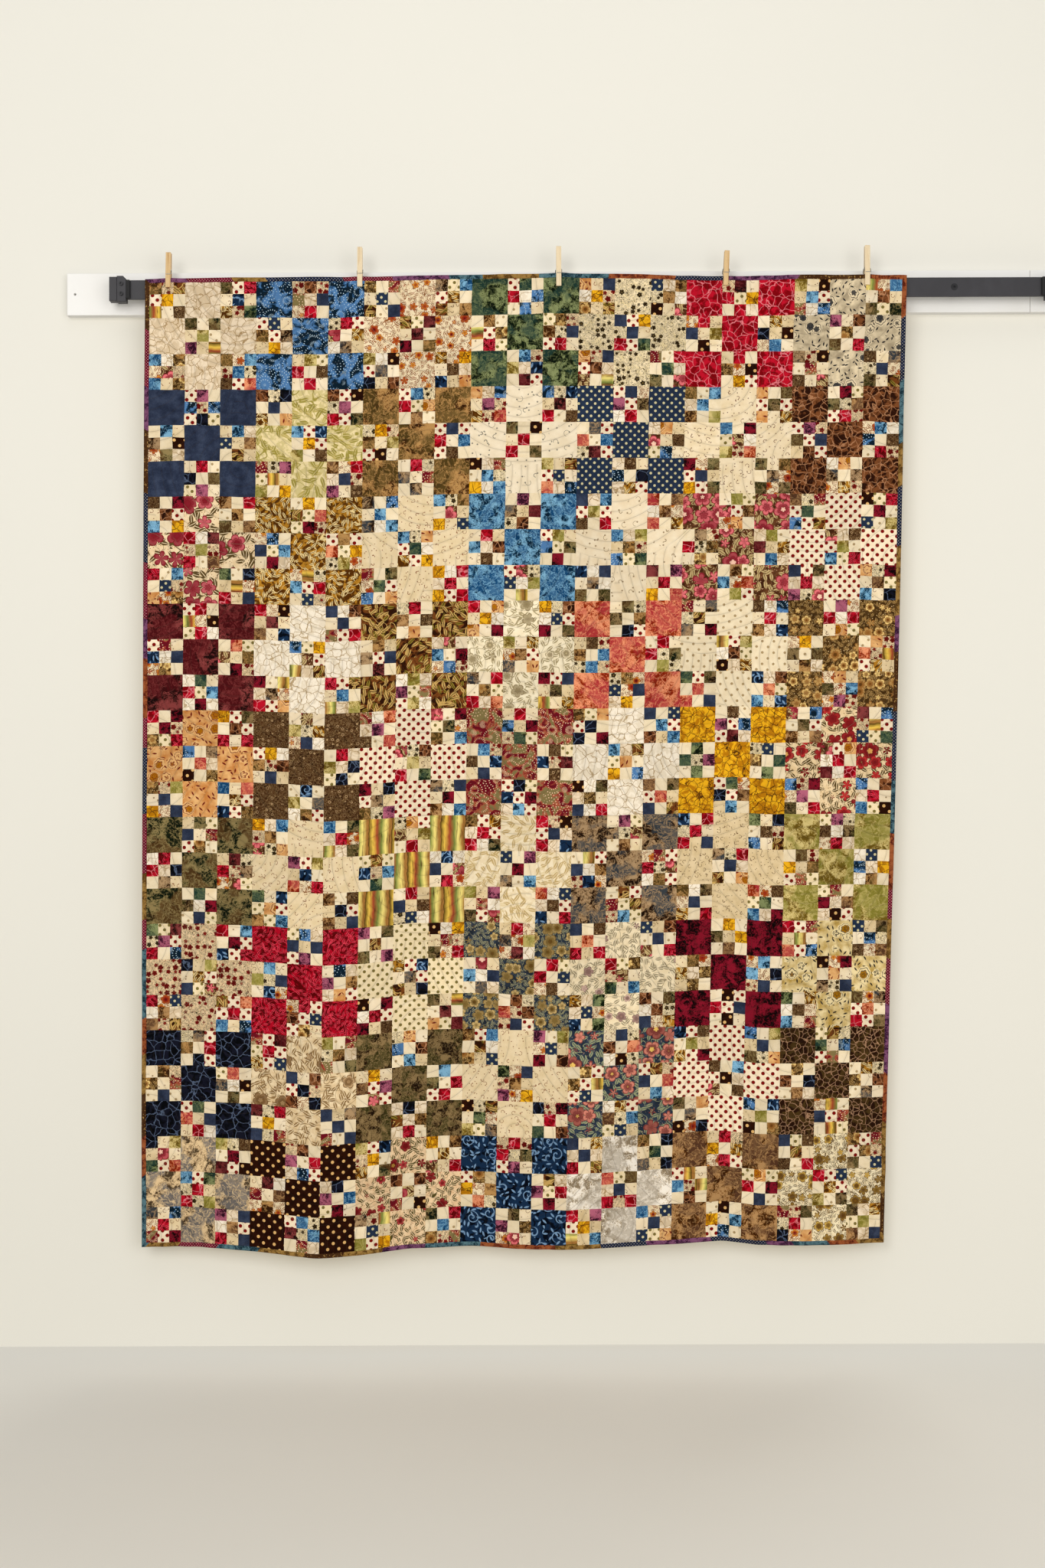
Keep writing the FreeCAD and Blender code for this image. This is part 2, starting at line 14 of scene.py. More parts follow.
import bpy
import numpy as np
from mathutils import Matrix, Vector

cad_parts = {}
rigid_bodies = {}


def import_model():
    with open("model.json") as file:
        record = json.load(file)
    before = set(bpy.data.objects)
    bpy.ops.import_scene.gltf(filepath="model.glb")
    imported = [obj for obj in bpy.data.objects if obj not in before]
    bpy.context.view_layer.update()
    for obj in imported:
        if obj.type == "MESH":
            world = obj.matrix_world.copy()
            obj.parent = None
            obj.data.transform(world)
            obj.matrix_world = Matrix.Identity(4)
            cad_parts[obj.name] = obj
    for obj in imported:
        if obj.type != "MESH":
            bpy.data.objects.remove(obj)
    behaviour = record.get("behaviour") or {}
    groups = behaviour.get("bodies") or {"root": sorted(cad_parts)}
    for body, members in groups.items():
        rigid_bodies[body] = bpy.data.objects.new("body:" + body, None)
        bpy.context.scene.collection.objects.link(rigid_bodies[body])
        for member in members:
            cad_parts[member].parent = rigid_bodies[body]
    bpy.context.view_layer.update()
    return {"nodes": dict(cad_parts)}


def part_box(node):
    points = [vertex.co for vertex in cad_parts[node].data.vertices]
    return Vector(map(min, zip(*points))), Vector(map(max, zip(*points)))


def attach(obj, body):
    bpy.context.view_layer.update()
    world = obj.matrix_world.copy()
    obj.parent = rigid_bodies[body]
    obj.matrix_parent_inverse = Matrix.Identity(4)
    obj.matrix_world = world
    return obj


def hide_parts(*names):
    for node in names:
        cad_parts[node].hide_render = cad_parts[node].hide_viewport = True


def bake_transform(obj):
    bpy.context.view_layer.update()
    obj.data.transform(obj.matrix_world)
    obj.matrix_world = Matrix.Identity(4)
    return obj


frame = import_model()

MM = 0.001
random.seed(27)
print("CAD nodes:", len(frame["nodes"]))

# %% [markdown]
# ## Sizes
#
# Every place is read from the frame, so the cloth goes where the design's own flat solids are.  The
# quilt's units are three inch squares, and each nine-patch unit holds three rows of three one inch
# squares.  Only what the flat solids can't say is given here: how the lower right corner hangs, how the
# lower edge wavers, and how far each pin holds the quilt's top edge above the rail.

# %% Sizes from the frame
UNIT_ROWS = 27
UNIT_COLUMNS = 21
BLOCK = 3
hem_low, hem_high = (Vector(corner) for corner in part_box("hem_binding"))
drop_low, _ = (Vector(corner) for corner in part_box("quilt_binding"))
rail_low, rail_high = (Vector(corner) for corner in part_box("rail"))
layer_low, layer_high = (Vector(corner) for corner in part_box("hem_batting"))
cloth_low, _ = (Vector(corner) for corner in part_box("hem_top"))

QUILT_LEFT = hem_low.x
QUILT_RIGHT = hem_high.x
QUILT_TOP = hem_high.z
QUILT_BOTTOM = drop_low.z
QUILT_WIDTH = QUILT_RIGHT - QUILT_LEFT
QUILT_LENGTH = QUILT_TOP - QUILT_BOTTOM
SKEW_LEFT = QUILT_LEFT - drop_low.x
SKEW_RIGHT = 57 * MM
MIDDLE_DEPTH = (layer_low.y + layer_high.y) / 2
HALF_LAYERS = MIDDLE_DEPTH - cloth_low.y
BINDING_WIDTH = 9 * MM
PIN_COUNT = 5
LOWER_EDGE_PLACES = (0, 0.07, 0.16, 0.24, 0.3, 0.36, 0.44, 0.5, 0.57, 0.63, 0.7, 0.78, 0.83, 0.9, 1)
LOWER_EDGE_DROPS = (2.011, 2.010, 2.019, 2.032, 2.025, 2.013, 2.010, 2.015, 2.019, 2.014, 2.007, 2.001, 2.009,
                    2.010, 2.009)
PIN_HOLDS = (3.5 * MM, 5.5 * MM, 12 * MM, 3.7 * MM, 6.6 * MM)
CORNER_HOLDS = (1.3 * MM, 1.1 * MM)


def pin_box(number):
    return [Vector(corner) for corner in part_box(f"pin_{number}_front_lever")]


PIN_PLACES = [(pin_box(number)[0].x + pin_box(number)[1].x) / 2 for number in range(1, PIN_COUNT + 1)]
print("quilt, metres:", round(QUILT_WIDTH, 3), "by", round(QUILT_LENGTH, 3))

# %% [markdown]
# ## Hanging the quilt
#
# A quilt that is held at a few points sags a little between them, and broad soft waves run down from the
# slack.  That could be modelled by hand with sine waves, but the waves of a real one are uneven, so a
# coarse sheet is hung by a cloth simulation: it starts out flat with a few broad folds pushed in towards
# its lower edge, is held under each clothespin, is grown a little so that it has slack, and is let down in
# front of the rail.  The result is a grid of points that all the cloth pieces follow.

# %% The sheet before it is hung
HANG_COLUMNS = 64
HANG_ROWS = 82
HANG_FRAMES = 90
SLACK = 0.006
GROWTH = 1 + SLACK
FIRST_SAG = 5.5 * MM
FOLD_PLACES = (-0.51, -0.21, -0.07, 0.34, 0.52, 0.7)
FOLD_DEPTHS = (13 * MM, -9 * MM, 9 * MM, -10 * MM, 9 * MM, -6 * MM)
FOLD_WIDTHS = (0.1, 0.06, 0.06, 0.08, 0.09, 0.05)


def hem_height(across):
    """Height of the quilt's top edge where the pins hold it, for a place along the rail."""
    places = [QUILT_LEFT] + PIN_PLACES + [QUILT_RIGHT]
    holds = [CORNER_HOLDS[0], *PIN_HOLDS, CORNER_HOLDS[1]]
    return rail_high.z + np.interp(across, places, holds)


def flat_sheet():
    """Places of the sheet's points, row by row from the top, before it is hung."""
    across = np.linspace(0, 1, HANG_COLUMNS + 1)[None, :]
    down = np.linspace(0, 1, HANG_ROWS + 1)[:, None]
    left = QUILT_LEFT - SKEW_LEFT * down
    right = QUILT_RIGHT - SKEW_RIGHT * down
    x = left + (right - left) * across
    top = hem_height(QUILT_LEFT + QUILT_WIDTH * across)
    low = FIRST_SAG - np.interp(across, LOWER_EDGE_PLACES, LOWER_EDGE_DROPS)
    z = top + (low - top) * down / GROWTH
    fullness = down * down * (3 - 2 * down)
    y = np.full_like(x, MIDDLE_DEPTH)
    for place, depth, width in zip(FOLD_PLACES, FOLD_DEPTHS, FOLD_WIDTHS):
        y -= depth * fullness * np.exp(-(((x - place) / width) ** 2))
    return np.stack([x, y, z], axis=-1)


def clear_selection():
    if bpy.context.object and bpy.context.object.mode != "OBJECT":
        bpy.ops.object.mode_set(mode="OBJECT")
    bpy.ops.object.select_all(action="DESELECT")


def select_only(item):
    clear_selection()
    item.select_set(True)
    bpy.context.view_layer.objects.active = item


def grid_mesh(name, points):
    """A sheet of quads through a grid of points that run down and then across, facing the viewer."""
    rows, columns = points.shape[:2]
    index = np.arange(rows * columns).reshape(rows, columns)
    quads = np.stack([index[:-1, :-1], index[1:, :-1], index[1:, 1:], index[:-1, 1:]], axis=-1)
    mesh = bpy.data.meshes.new(name)
    mesh.from_pydata(points.reshape(-1, 3).tolist(), [], quads.reshape(-1, 4).tolist())
    item = bpy.data.objects.new(name, mesh)
    bpy.context.collection.objects.link(item)
    return item


start_points = flat_sheet()
print("sheet points:", start_points.shape[0] * start_points.shape[1])

# %% Let it hang
JAW_REACH = 14 * MM
JAW_LOWEST = 15 * MM
WALL_SIDE_ROOM = 22 * MM
VIEWER_SIDE_ROOM = 15 * MM


def rail_to_lean_on():
    """A plain bar that the sheet lies against while it is hung."""
    clear_selection()
    middle = (rail_low + rail_high) / 2
    bpy.ops.mesh.primitive_cube_add(size=1, location=middle)
    bar = bpy.context.object
    bar.dimensions = rail_high - rail_low
    bpy.ops.object.transform_apply(location=True, rotation=False, scale=True)
    bpy.ops.object.modifier_add(type="COLLISION")
    bar.collision.thickness_outer = 1 * MM
    return bar


def hang(points):
    """Drop the sheet on its pins and hand back where its points come to rest."""
    sheet = grid_mesh("sheet_to_hang", points)
    held = sheet.vertex_groups.new(name="held")
    for number, point in enumerate(points.reshape(-1, 3)):
        near_pin = min(abs(point[0] - place) for place in PIN_PLACES) < JAW_REACH
        if near_pin and point[2] > rail_low.z + JAW_LOWEST:
            held.add([number], 1.0, "REPLACE")
    bar = rail_to_lean_on()
    select_only(sheet)
    bpy.ops.object.modifier_add(type="CLOTH")
    cloth = sheet.modifiers[-1]
    settings = cloth.settings
    settings.quality = 8
    settings.mass = 0.4
    settings.tension_stiffness = 60
    settings.compression_stiffness = 60
    settings.shear_stiffness = 40
    settings.bending_stiffness = 12
    settings.tension_damping = 20
    settings.compression_damping = 20
    settings.shear_damping = 20
    settings.bending_damping = 4
    settings.air_damping = 3
    settings.vertex_group_mass = "held"
    settings.shrink_min = -SLACK
    settings.shrink_max = -SLACK
    cloth.collision_settings.distance_min = 1.5 * MM
    cloth.point_cache.frame_start = 1
    cloth.point_cache.frame_end = HANG_FRAMES
    for step in range(1, HANG_FRAMES + 1):
        bpy.context.scene.frame_set(step)
    shown = sheet.evaluated_get(bpy.context.evaluated_depsgraph_get())
    places = np.empty(len(shown.data.vertices) * 3, np.float32)
    shown.data.vertices.foreach_get("co", places)
    bpy.data.objects.remove(bar)
    bpy.data.objects.remove(sheet)
    bpy.context.scene.frame_set(1)
    return places.reshape(points.shape).astype(float)


hung = hang(start_points)
print("depth of the hung sheet:", hung[..., 1].min().round(4), "to", hung[..., 1].max().round(4))
print("lower edge height:", hung[-1, :, 2].min().round(4), "to", hung[-1, :, 2].max().round(4))

# %% [markdown]
# ## Following the hung sheet
#
# Every cloth piece is laid out flat, in metres across and down, and then moved onto the hung sheet.  The
# sheet's own squares are too big for that, so a smooth curve through its points gives the places between
# them.  A piece is lifted off the sheet's middle along the sheet's own facing, so the top lies in front
# of the batting and the backing lies behind it.

# %% A smooth surface through the hung points
FINE_STEP = 0.0005
JAW_CALM = 0.045
FREE_BELOW_RAIL = 0.3


def curve_weights(share):
    """Weights of the four points around a place, for a smooth curve through the middle two."""
    square = share * share
    cube = square * share
    first = (-cube + 2 * square - share) / 2
    second = (3 * cube - 5 * square + 2) / 2
    third = (-3 * cube + 4 * square + share) / 2
    return first, second, third, (cube - square) / 2


def padded_places(points):
    """The grid with one more ring of points outside it, for the curve's ends."""
    grid = np.concatenate([2 * points[:1] - points[1:2], points, 2 * points[-1:] - points[-2:-1]], axis=0)
    left = 2 * grid[:, :1] - grid[:, 1:2]
    right = 2 * grid[:, -1:] - grid[:, -2:-1]
    return np.concatenate([left, grid, right], axis=1)


hung_ring = padded_places(hung)


def on_sheet(across, down):
    """Places on the hung sheet's middle, for shares across and down it."""
    column = np.clip(across, -0.01, 1.01) * HANG_COLUMNS
    row = np.clip(down, -0.01, 1.01) * HANG_ROWS
    left = np.clip(np.floor(column), 0, HANG_COLUMNS - 1).astype(int)
    top = np.clip(np.floor(row), 0, HANG_ROWS - 1).astype(int)
    place = 0
    for step_down, weight_down in enumerate(curve_weights(row - top)):
        for step_across, weight_across in enumerate(curve_weights(column - left)):
            corner = hung_ring[top + step_down, left + step_across]
            place = place + corner * (weight_down * weight_across)[..., None]
    near = np.min([np.abs(place[..., 0] - pin) for pin in PIN_PLACES], axis=0)
    calm = np.clip(1.25 - near / JAW_CALM, 0, 1) * np.clip(1.3 - down * QUILT_LENGTH / JAW_CALM, 0, 1)
    place[..., 1] += (MIDDLE_DEPTH - place[..., 1]) * calm
    drop_below_rail = np.clip((rail_low.z - place[..., 2]) / FREE_BELOW_RAIL, 0, 1)
    back_limit = MIDDLE_DEPTH + WALL_SIDE_ROOM * drop_below_rail
    place[..., 1] = np.clip(place[..., 1], MIDDLE_DEPTH - VIEWER_SIDE_ROOM, back_limit)
    return place


def on_quilt(across, down, lift):
    """Places on the quilt for metres across and down it, lifted towards the viewer."""
    share_across = across / QUILT_WIDTH
    share_down = down / QUILT_LENGTH
    place = on_sheet(share_across, share_down)
    along = on_sheet(share_across + FINE_STEP, share_down) - on_sheet(share_across - FINE_STEP, share_down)
    below = on_sheet(share_across, share_down + FINE_STEP) - on_sheet(share_across, share_down - FINE_STEP)
    facing = np.cross(below, along)
    facing /= np.linalg.norm(facing, axis=-1, keepdims=True)
    return place + facing * np.asarray(lift)[..., None]


print("lower left corner:", on_quilt(np.array(0.0), np.array(QUILT_LENGTH), np.array(0.0)).round(3))

# %% [markdown]
# ## The plan of the quilt
#
# The top is sewn from blocks of three by three units.  In a light block the nine-patches sit at the
# corners and the middle, with plain light squares between, and in a dark block it is the other way round,
# so that nine-patches alternate over the whole quilt.  Each block takes one print for its plain squares.
# The plan below names the print of every block, row by row from the top.

# %% Which print goes where
PLAN = """
cream_crackle    blue_swirls      orange_flowers green_batik    moss_sprigs    red_crackle    grey_paisley
navy             leaf_green_cream olive_batik    twig_cream     navy_dots      tiny_sprigs    umber_crackle
rose_bouquet     gold_leaves      hook_sprigs    sky_batik      faint_sprigs   rose_brown     red_dot_cream
maroon_batik     ivory_crackle    oak_leaves     toile_grey     coral_batik    tan_dot_cream  daisy_brown
peach_paisley    calico_brown     red_dot_cream  rust_swirls    ivory_crackle  gold_crackle   red_vines
forest_batik     hook_sprigs      sunset_stripes tan_leaf_cream slate_leaves   grain_cream    olive_mottle
berry_vines      crimson_leaves   moss_dot_cream daisy_slate    mauve_vines    burgundy_batik gold_paisley
midnight_crackle toile_tan        khaki_speckle  hook_sprigs    indigo_bouquet red_dot_cream  bark_crackle
stone_batik      brown_dots       pink_vines     indigo_scrolls pale_marble    cocoa_batik    medallions
"""
PLAN_ROWS = [line.split() for line in PLAN.strip().splitlines()]
LIGHT_SCRAPS = """cream_crackle hook_sprigs red_dot_cream tan_dot_cream tiny_sprigs moss_sprigs
grain_cream moss_dot_cream berry_vines orange_flowers faint_sprigs ivory_crackle cream cream cream
red_dot_cream""".split()
DARK_SCRAPS = """blue_swirls navy sky_batik red_crackle crimson_leaves green_batik brown_dots
calico_brown maroon_batik coral_batik gold_crackle rust_swirls khaki_speckle cocoa_batik olive_mottle
slate_leaves indigo_scrolls midnight_crackle oak_leaves gold_leaves burgundy_batik umber_crackle
navy_dots daisy_brown forest_batik sunset_stripes peach_paisley rose_brown navy red_crackle
olive_batik sky_batik plum_batik""".split()


def is_nine_patch(unit_row, unit_column):
    return (unit_row + unit_column) % 2 == 0


def is_light_block(unit_row, unit_column):
    return (unit_row // BLOCK + unit_column // BLOCK) % 2 == 0


def scrap_print(square_row, square_column):
    """The print of one small square, from its place among the small squares."""
    unit_row, unit_column = square_row // 3, square_column // 3
    if not is_nine_patch(unit_row, unit_column):
        return PLAN_ROWS[unit_row // BLOCK][unit_column // BLOCK]
    outer_or_middle = (square_row % 3 + square_column % 3) % 2 == 0
    wants_dark = outer_or_middle == is_light_block(unit_row, unit_column)
    return random.choice(DARK_SCRAPS if wants_dark else LIGHT_SCRAPS)


SQUARE_ROWS = UNIT_ROWS * 3
SQUARE_COLUMNS = UNIT_COLUMNS * 3
prints = [[scrap_print(row, column) for column in range(SQUARE_COLUMNS)] for row in range(SQUARE_ROWS)]
print_names = {name for row in prints for name in row}
print("small squares:", SQUARE_ROWS * SQUARE_COLUMNS, "prints:", len(print_names))

# %% [markdown]
# ## Prints, as nodes
#
# A scrap quilt holds dozens of printed cottons, but only a few kinds of print: crackles, batiks, dots,
# flowers, sprigs, leaves, stripes and paisleys.  Pictures of the cloth could be painted on, but nodes
# keep every print sharp at any distance and let one kind serve many colours.  Each kind is one function
# that draws its marks from the cloth's own map, which is laid out in metres, and the colours are passed
# in.  First comes a small pen that keeps the node code readable, and a recipe, which is a pen with a
# material of its own.

# %% A helper for node work
def linear(hex_colour):
    """A colour for a socket, from the usual six figure form."""
    parts = [int(hex_colour[start:start + 2], 16) / 255 for start in (1, 3, 5)]
    return tuple(part / 12.92 if part < 0.04045 else ((part + 0.055) / 1.055) ** 2.4 for part in parts) + (1,)


class NodePen:
    """Short ways to add nodes to one tree."""

    def __init__(self, tree):
        self.tree = tree

    def node(self, kind, settings=None, **inputs):
        made = self.tree.nodes.new("ShaderNode" + kind)
        for name, value in (settings or {}).items():
            setattr(made, name, value)
        for name, value in inputs.items():
            key = int(name[1:]) if name[1:].isdigit() else name.replace("_", " ")
            self.feed(made.inputs[key], value)
        return made

    def feed(self, socket, value):
        if isinstance(value, str):
            socket.default_value = linear(value)
        elif isinstance(value, (int, float, tuple)):
            socket.default_value = value
        else:
            self.tree.links.new(value, socket)

    def math(self, operation, first, second=0.0):
        return self.node("Math", {"operation": operation}, i0=first, i1=second).outputs[0]

    def vector(self, operation, first, second=(0.0, 0.0, 0.0), result=0):
        return self.node("VectorMath", {"operation": operation}, i0=first, i1=second).outputs[result]

    def scaled(self, vector, factor):
        made = self.node("VectorMath", {"operation": "SCALE"}, i0=vector)
        self.feed(made.inputs["Scale"], factor)
        return made.outputs[0]

    def mix(self, share, first, second):
        made = self.node("Mix", {"data_type": "RGBA"}, Factor=share)
        self.feed(made.inputs[6], first)
        self.feed(made.inputs[7], second)
        return made.outputs[2]

    def noise(self, place, scale, detail=3.0, distortion=0.0, roughness=0.55):
        made = self.node("TexNoise", Scale=scale, Detail=detail, Distortion=distortion, Roughness=roughness)
        self.feed(made.inputs["Vector"], place)
        return made.outputs["Fac"]

    def cells(self, place, scale, feature="F1", randomness=1.0):
        made = self.node("TexVoronoi", {"feature": feature}, Scale=scale, Randomness=randomness)
        self.feed(made.inputs["Vector"], place)
        return made

    def ramp(self, value, low, high):
        """0 below low, 1 above high, and even between them; a falling ramp has low above high."""
        made = self.node("MapRange", i0=value, i1=low, i2=high, i3=0.0, i4=1.0)
        return made.outputs[0]

    def three_tones(self, value, dark, middle, light, spread=0.1):
        deep = self.mix(self.ramp(value, 0.5 - spread, 0.5), dark, middle)
        return self.mix(self.ramp(value, 0.5, 0.5 + spread), deep, light)


class Recipe(NodePen):
    """One material, with its shader's plain settings."""

    def __init__(self, name, roughness=0.9, sheen=0.0, metallic=0.0, specular=0.5):
        self.material = bpy.data.materials.new(name)
        self.material.use_nodes = True
        super().__init__(self.material.node_tree)
        self.shader = self.tree.nodes["Principled BSDF"]
        self.shader.inputs["Roughness"].default_value = roughness
        self.shader.inputs["Sheen Weight"].default_value = sheen
        self.shader.inputs["Metallic"].default_value = metallic
        self.shader.inputs["Specular IOR Level"].default_value = specular


def wandering(recipe, place, scale, amount):
    """The cloth's map, pushed about a little so that drawn lines aren't ruled."""
    made = recipe.node("TexNoise", Scale=scale, Detail=2.0)
    recipe.feed(made.inputs["Vector"], place)
    shift = recipe.vector("SUBTRACT", made.outputs["Color"], (0.5, 0.5, 0.5))
    return recipe.vector("ADD", place, recipe.scaled(shift, amount))


print("a named colour, ready for a socket:", [round(part, 3) for part in linear("#eddcba")])

# %% [markdown]
# ## Quilting
#
# The three layers are held together by rows of stitching that swing in wide shells over the whole top,
# and a thin line shows wherever they cross pale cloth.  The stitches could be modelled as thread, but
# at half a millimetre they are far finer than the squares, so they are drawn: the distance from the
# middle of a shell gives evenly spaced arcs.  The same sum is worked out once in numbers, for the real
# hollows in the cloth, and once in nodes, for the thread, so that both fall in the same place.

# %% The shells, in nodes and in numbers
SHELL = 0.2
ARC_SPACING = 0.02
THREAD = 0.0005
HOLLOW_WIDTH = 0.0032
SHADED_WIDTH = 0.0045
FIRST_WANDER, SECOND_WANDER = 0.004, 0.003


def shell_distance(across, down):
    """How far a place lies from the middle of its shell, in metres, for arrays of places."""
    row = np.floor(down / SHELL)
    below = down / SHELL - row
    shift = np.where(row % 2 == 1, 0.5, 0.0)
    side = (np.mod(across / (2 * SHELL) + shift, 1) - 0.5) * 2
    near = np.sqrt(side ** 2 + below ** 2)
    far = np.sqrt((1 - np.abs(side)) ** 2 + (1 - below) ** 2)
    return np.where(near < 1, near, far) * SHELL


def stitch_hollow(across, down):
    """Depth of the hollow along the stitching, 1 on a line and 0 halfway to the next."""
    wander = FIRST_WANDER * np.sin(across * 21 + down * 9) + SECOND_WANDER * np.sin(down * 33 - across * 14)
    turns = np.mod((shell_distance(across, down) + wander) / ARC_SPACING + 0.5, 1)
    return np.exp(-((np.abs(turns - 0.5) * ARC_SPACING / HOLLOW_WIDTH) ** 2))


def quilting_group():
    """The same shells as nodes, with a mask for the thread and one for the hollow beside it, which the
    cottons use for a bump and for painted shade.
    """
    group = bpy.data.node_groups.new("quilting_stitches", "ShaderNodeTree")
    for name in ("thread", "hollow"):
        group.interface.new_socket(name, in_out="OUTPUT", socket_type="NodeSocketFloat")
    pen = NodePen(group)
    split = pen.node("SeparateXYZ", i0=pen.node("UVMap", {"uv_map": "quilting"}).outputs[0])
    across, down = split.outputs[0], split.outputs[1]
    shells = pen.math("DIVIDE", down, SHELL)
    row = pen.math("FLOOR", shells)
    below = pen.math("SUBTRACT", shells, row)
    odd = pen.math("MULTIPLY", pen.math("MODULO", row, 2.0), 0.5)
    turn = pen.math("FRACT", pen.math("ADD", pen.math("DIVIDE", across, 2 * SHELL), odd))
    side = pen.math("ABSOLUTE", pen.math("MULTIPLY", pen.math("SUBTRACT", turn, 0.5), 2.0))

    def length(first, second):
        squares = pen.math("ADD", pen.math("MULTIPLY", first, first), pen.math("MULTIPLY", second, second))
        return pen.math("SQRT", squares)

    near = length(side, below)
    far = length(pen.math("SUBTRACT", 1.0, side), pen.math("SUBTRACT", 1.0, below))
    is_near = pen.math("LESS_THAN", near, 1.0)
    chosen = pen.math("ADD", pen.math("MULTIPLY", is_near, near),
                      pen.math("MULTIPLY", pen.math("SUBTRACT", 1.0, is_near), far))
    first_wave = pen.math("SINE", pen.math("ADD", pen.math("MULTIPLY", across, 21.0),
                                           pen.math("MULTIPLY", down, 9.0)))
    second_wave = pen.math("SINE", pen.math("SUBTRACT", pen.math("MULTIPLY", down, 33.0),
                                            pen.math("MULTIPLY", across, 14.0)))
    wander = pen.math("ADD", pen.math("MULTIPLY", first_wave, FIRST_WANDER),
                      pen.math("MULTIPLY", second_wave, SECOND_WANDER))
    placed = pen.math("ADD", pen.math("MULTIPLY", chosen, SHELL), wander)
    turns = pen.math("FRACT", pen.math("ADD", pen.math("DIVIDE", placed, ARC_SPACING), 0.5))
    away = pen.math("MULTIPLY", pen.math("ABSOLUTE", pen.math("SUBTRACT", turns, 0.5)), ARC_SPACING)
    finish = group.nodes.new("NodeGroupOutput")
    pen.feed(finish.inputs["thread"], pen.ramp(away, THREAD, THREAD * 0.3))
    pen.feed(finish.inputs["hollow"], pen.ramp(away, SHADED_WIDTH, 0.0))
    return group


QUILTING = quilting_group()
print("nodes in the quilting group:", len(QUILTING.nodes))

# %% [markdown]
# ## The kinds of print
#
# Each function draws one kind of cotton print and hands back its colour.  Small marks such as flowers
# and hooks need a middle to be drawn around, so a cell pattern gives every mark its own middle and its
# own turn, and the mark is then drawn from the distance and the angle around that middle.

# %% Marks that are drawn around a middle
INK_EDGE = 0.0004


def mark_frame(recipe, place, size, randomness=0.8, shift=0.0):
    """For each mark: its own across and down, its distance and angle from the middle, and a chance."""
    moved = recipe.vector("ADD", place, (shift, shift * 0.7, 0.0))
    cells = recipe.cells(moved, 1 / size, "F1", randomness)
    away = recipe.vector("SUBTRACT", moved, cells.outputs["Position"])
    chance = recipe.node("SeparateColor", i0=cells.outputs["Color"]).outputs[0]
    turned = recipe.node("VectorRotate", {"rotation_type": "Z_AXIS"}, Vector=away,
                         Angle=recipe.math("MULTIPLY", chance, math.tau)).outputs[0]
    split = recipe.node("SeparateXYZ", i0=turned)
    distance = recipe.vector("LENGTH", turned, result=1)
    angle = recipe.math("ARCTAN2", split.outputs[1], split.outputs[0])
    return split.outputs[0], split.outputs[1], distance, angle, chance


def leaf_mask(recipe, place, size, length, width, shift):
    """Pointed leaves, and the thin vein along each."""
    along, beside, _, _, _ = mark_frame(recipe, place, size, 0.9, shift)
    along = recipe.math("DIVIDE", along, length)
    narrowing = recipe.math("SUBTRACT", 1.0, recipe.math("MULTIPLY", along, along))
    swell = recipe.math("MULTIPLY", narrowing, width)
    beside = recipe.math("ABSOLUTE", beside)
    leaf = recipe.ramp(recipe.math("SUBTRACT", beside, swell), INK_EDGE, -INK_EDGE)
    vein = recipe.math("MULTIPLY", leaf, recipe.ramp(beside, 0.0009, 0.0004))
    return leaf, vein


print("every mark has a middle and a turn of its own")


# %% Crackle, batik and dots
def crackle(recipe, place, ground, shade, line, size=0.019, width=0.026):
    """Irregular plates with thin drawn lines between them, over a cloudy ground."""
    warped = wandering(recipe, place, 75.0, 0.009)
    edge = recipe.cells(warped, 1 / size, "DISTANCE_TO_EDGE").outputs["Distance"]
    cloud = recipe.ramp(recipe.noise(place, 55.0, 4.0, 1.0), 0.45, 0.55)
    broken = recipe.math("MULTIPLY", recipe.ramp(recipe.noise(place, 160.0), 0.26, 0.4),
                         recipe.ramp(edge, width * 1.6, width * 0.4))
    return recipe.mix(broken, recipe.mix(cloud, shade, ground), line)


def batik(recipe, place, dark, middle, light, second=None, size=0.026, strokes=0.75):
    """Dye clouds crossed by feathery strokes where the wax kept the dye out."""
    warped = wandering(recipe, place, 1.4 / size, size * 0.6)
    broad = recipe.noise(warped, 1 / size, 3.0, 0.8)
    fine = recipe.noise(place, 9 / size, 3.0, 1.2)
    cloud = recipe.math("ADD", recipe.math("MULTIPLY", broad, 0.62), recipe.math("MULTIPLY", fine, 0.38))
    colour = recipe.three_tones(cloud, dark, middle, light, 0.04)
    if second:
        other = recipe.noise(recipe.vector("ADD", warped, (4.0, 7.0, 0.0)), 0.42 / size, 2.0)
        colour = recipe.mix(recipe.math("MULTIPLY", recipe.ramp(other, 0.48, 0.54), 0.8), colour, second)
    for shift in (0.0, 0.4 * size):
        blade, _ = leaf_mask(recipe, warped, size * 0.42, size * 0.2, size * 0.045, shift)
        colour = recipe.mix(recipe.math("MULTIPLY", blade, strokes * 0.55), colour, light)
    contour = recipe.math("ABSOLUTE", recipe.math("SUBTRACT", broad, 0.5))
    return recipe.mix(recipe.math("MULTIPLY", recipe.ramp(contour, 0.02, 0.006), strokes), colour, light)


def dots(recipe, place, ground, shade, dot, spacing=0.02, radius=0.0032):
    """Round dots in staggered rows."""
    grid = recipe.scaled(place, 1 / spacing)

    def from_dot(shift):
        part = recipe.vector("FRACTION", recipe.vector("ADD", grid, (shift, shift, 0.0)))
        return recipe.vector("LENGTH", recipe.vector("SUBTRACT", part, (0.5, 0.5, 0.0)), result=1)

    nearest = recipe.math("MINIMUM", from_dot(0.0), from_dot(0.5))
    edge = radius / spacing
    cloud = recipe.ramp(recipe.noise(place, 70.0), 0.35, 0.65)
    return recipe.mix(recipe.ramp(nearest, edge * 1.12, edge * 0.88), recipe.mix(cloud, shade, ground), dot)


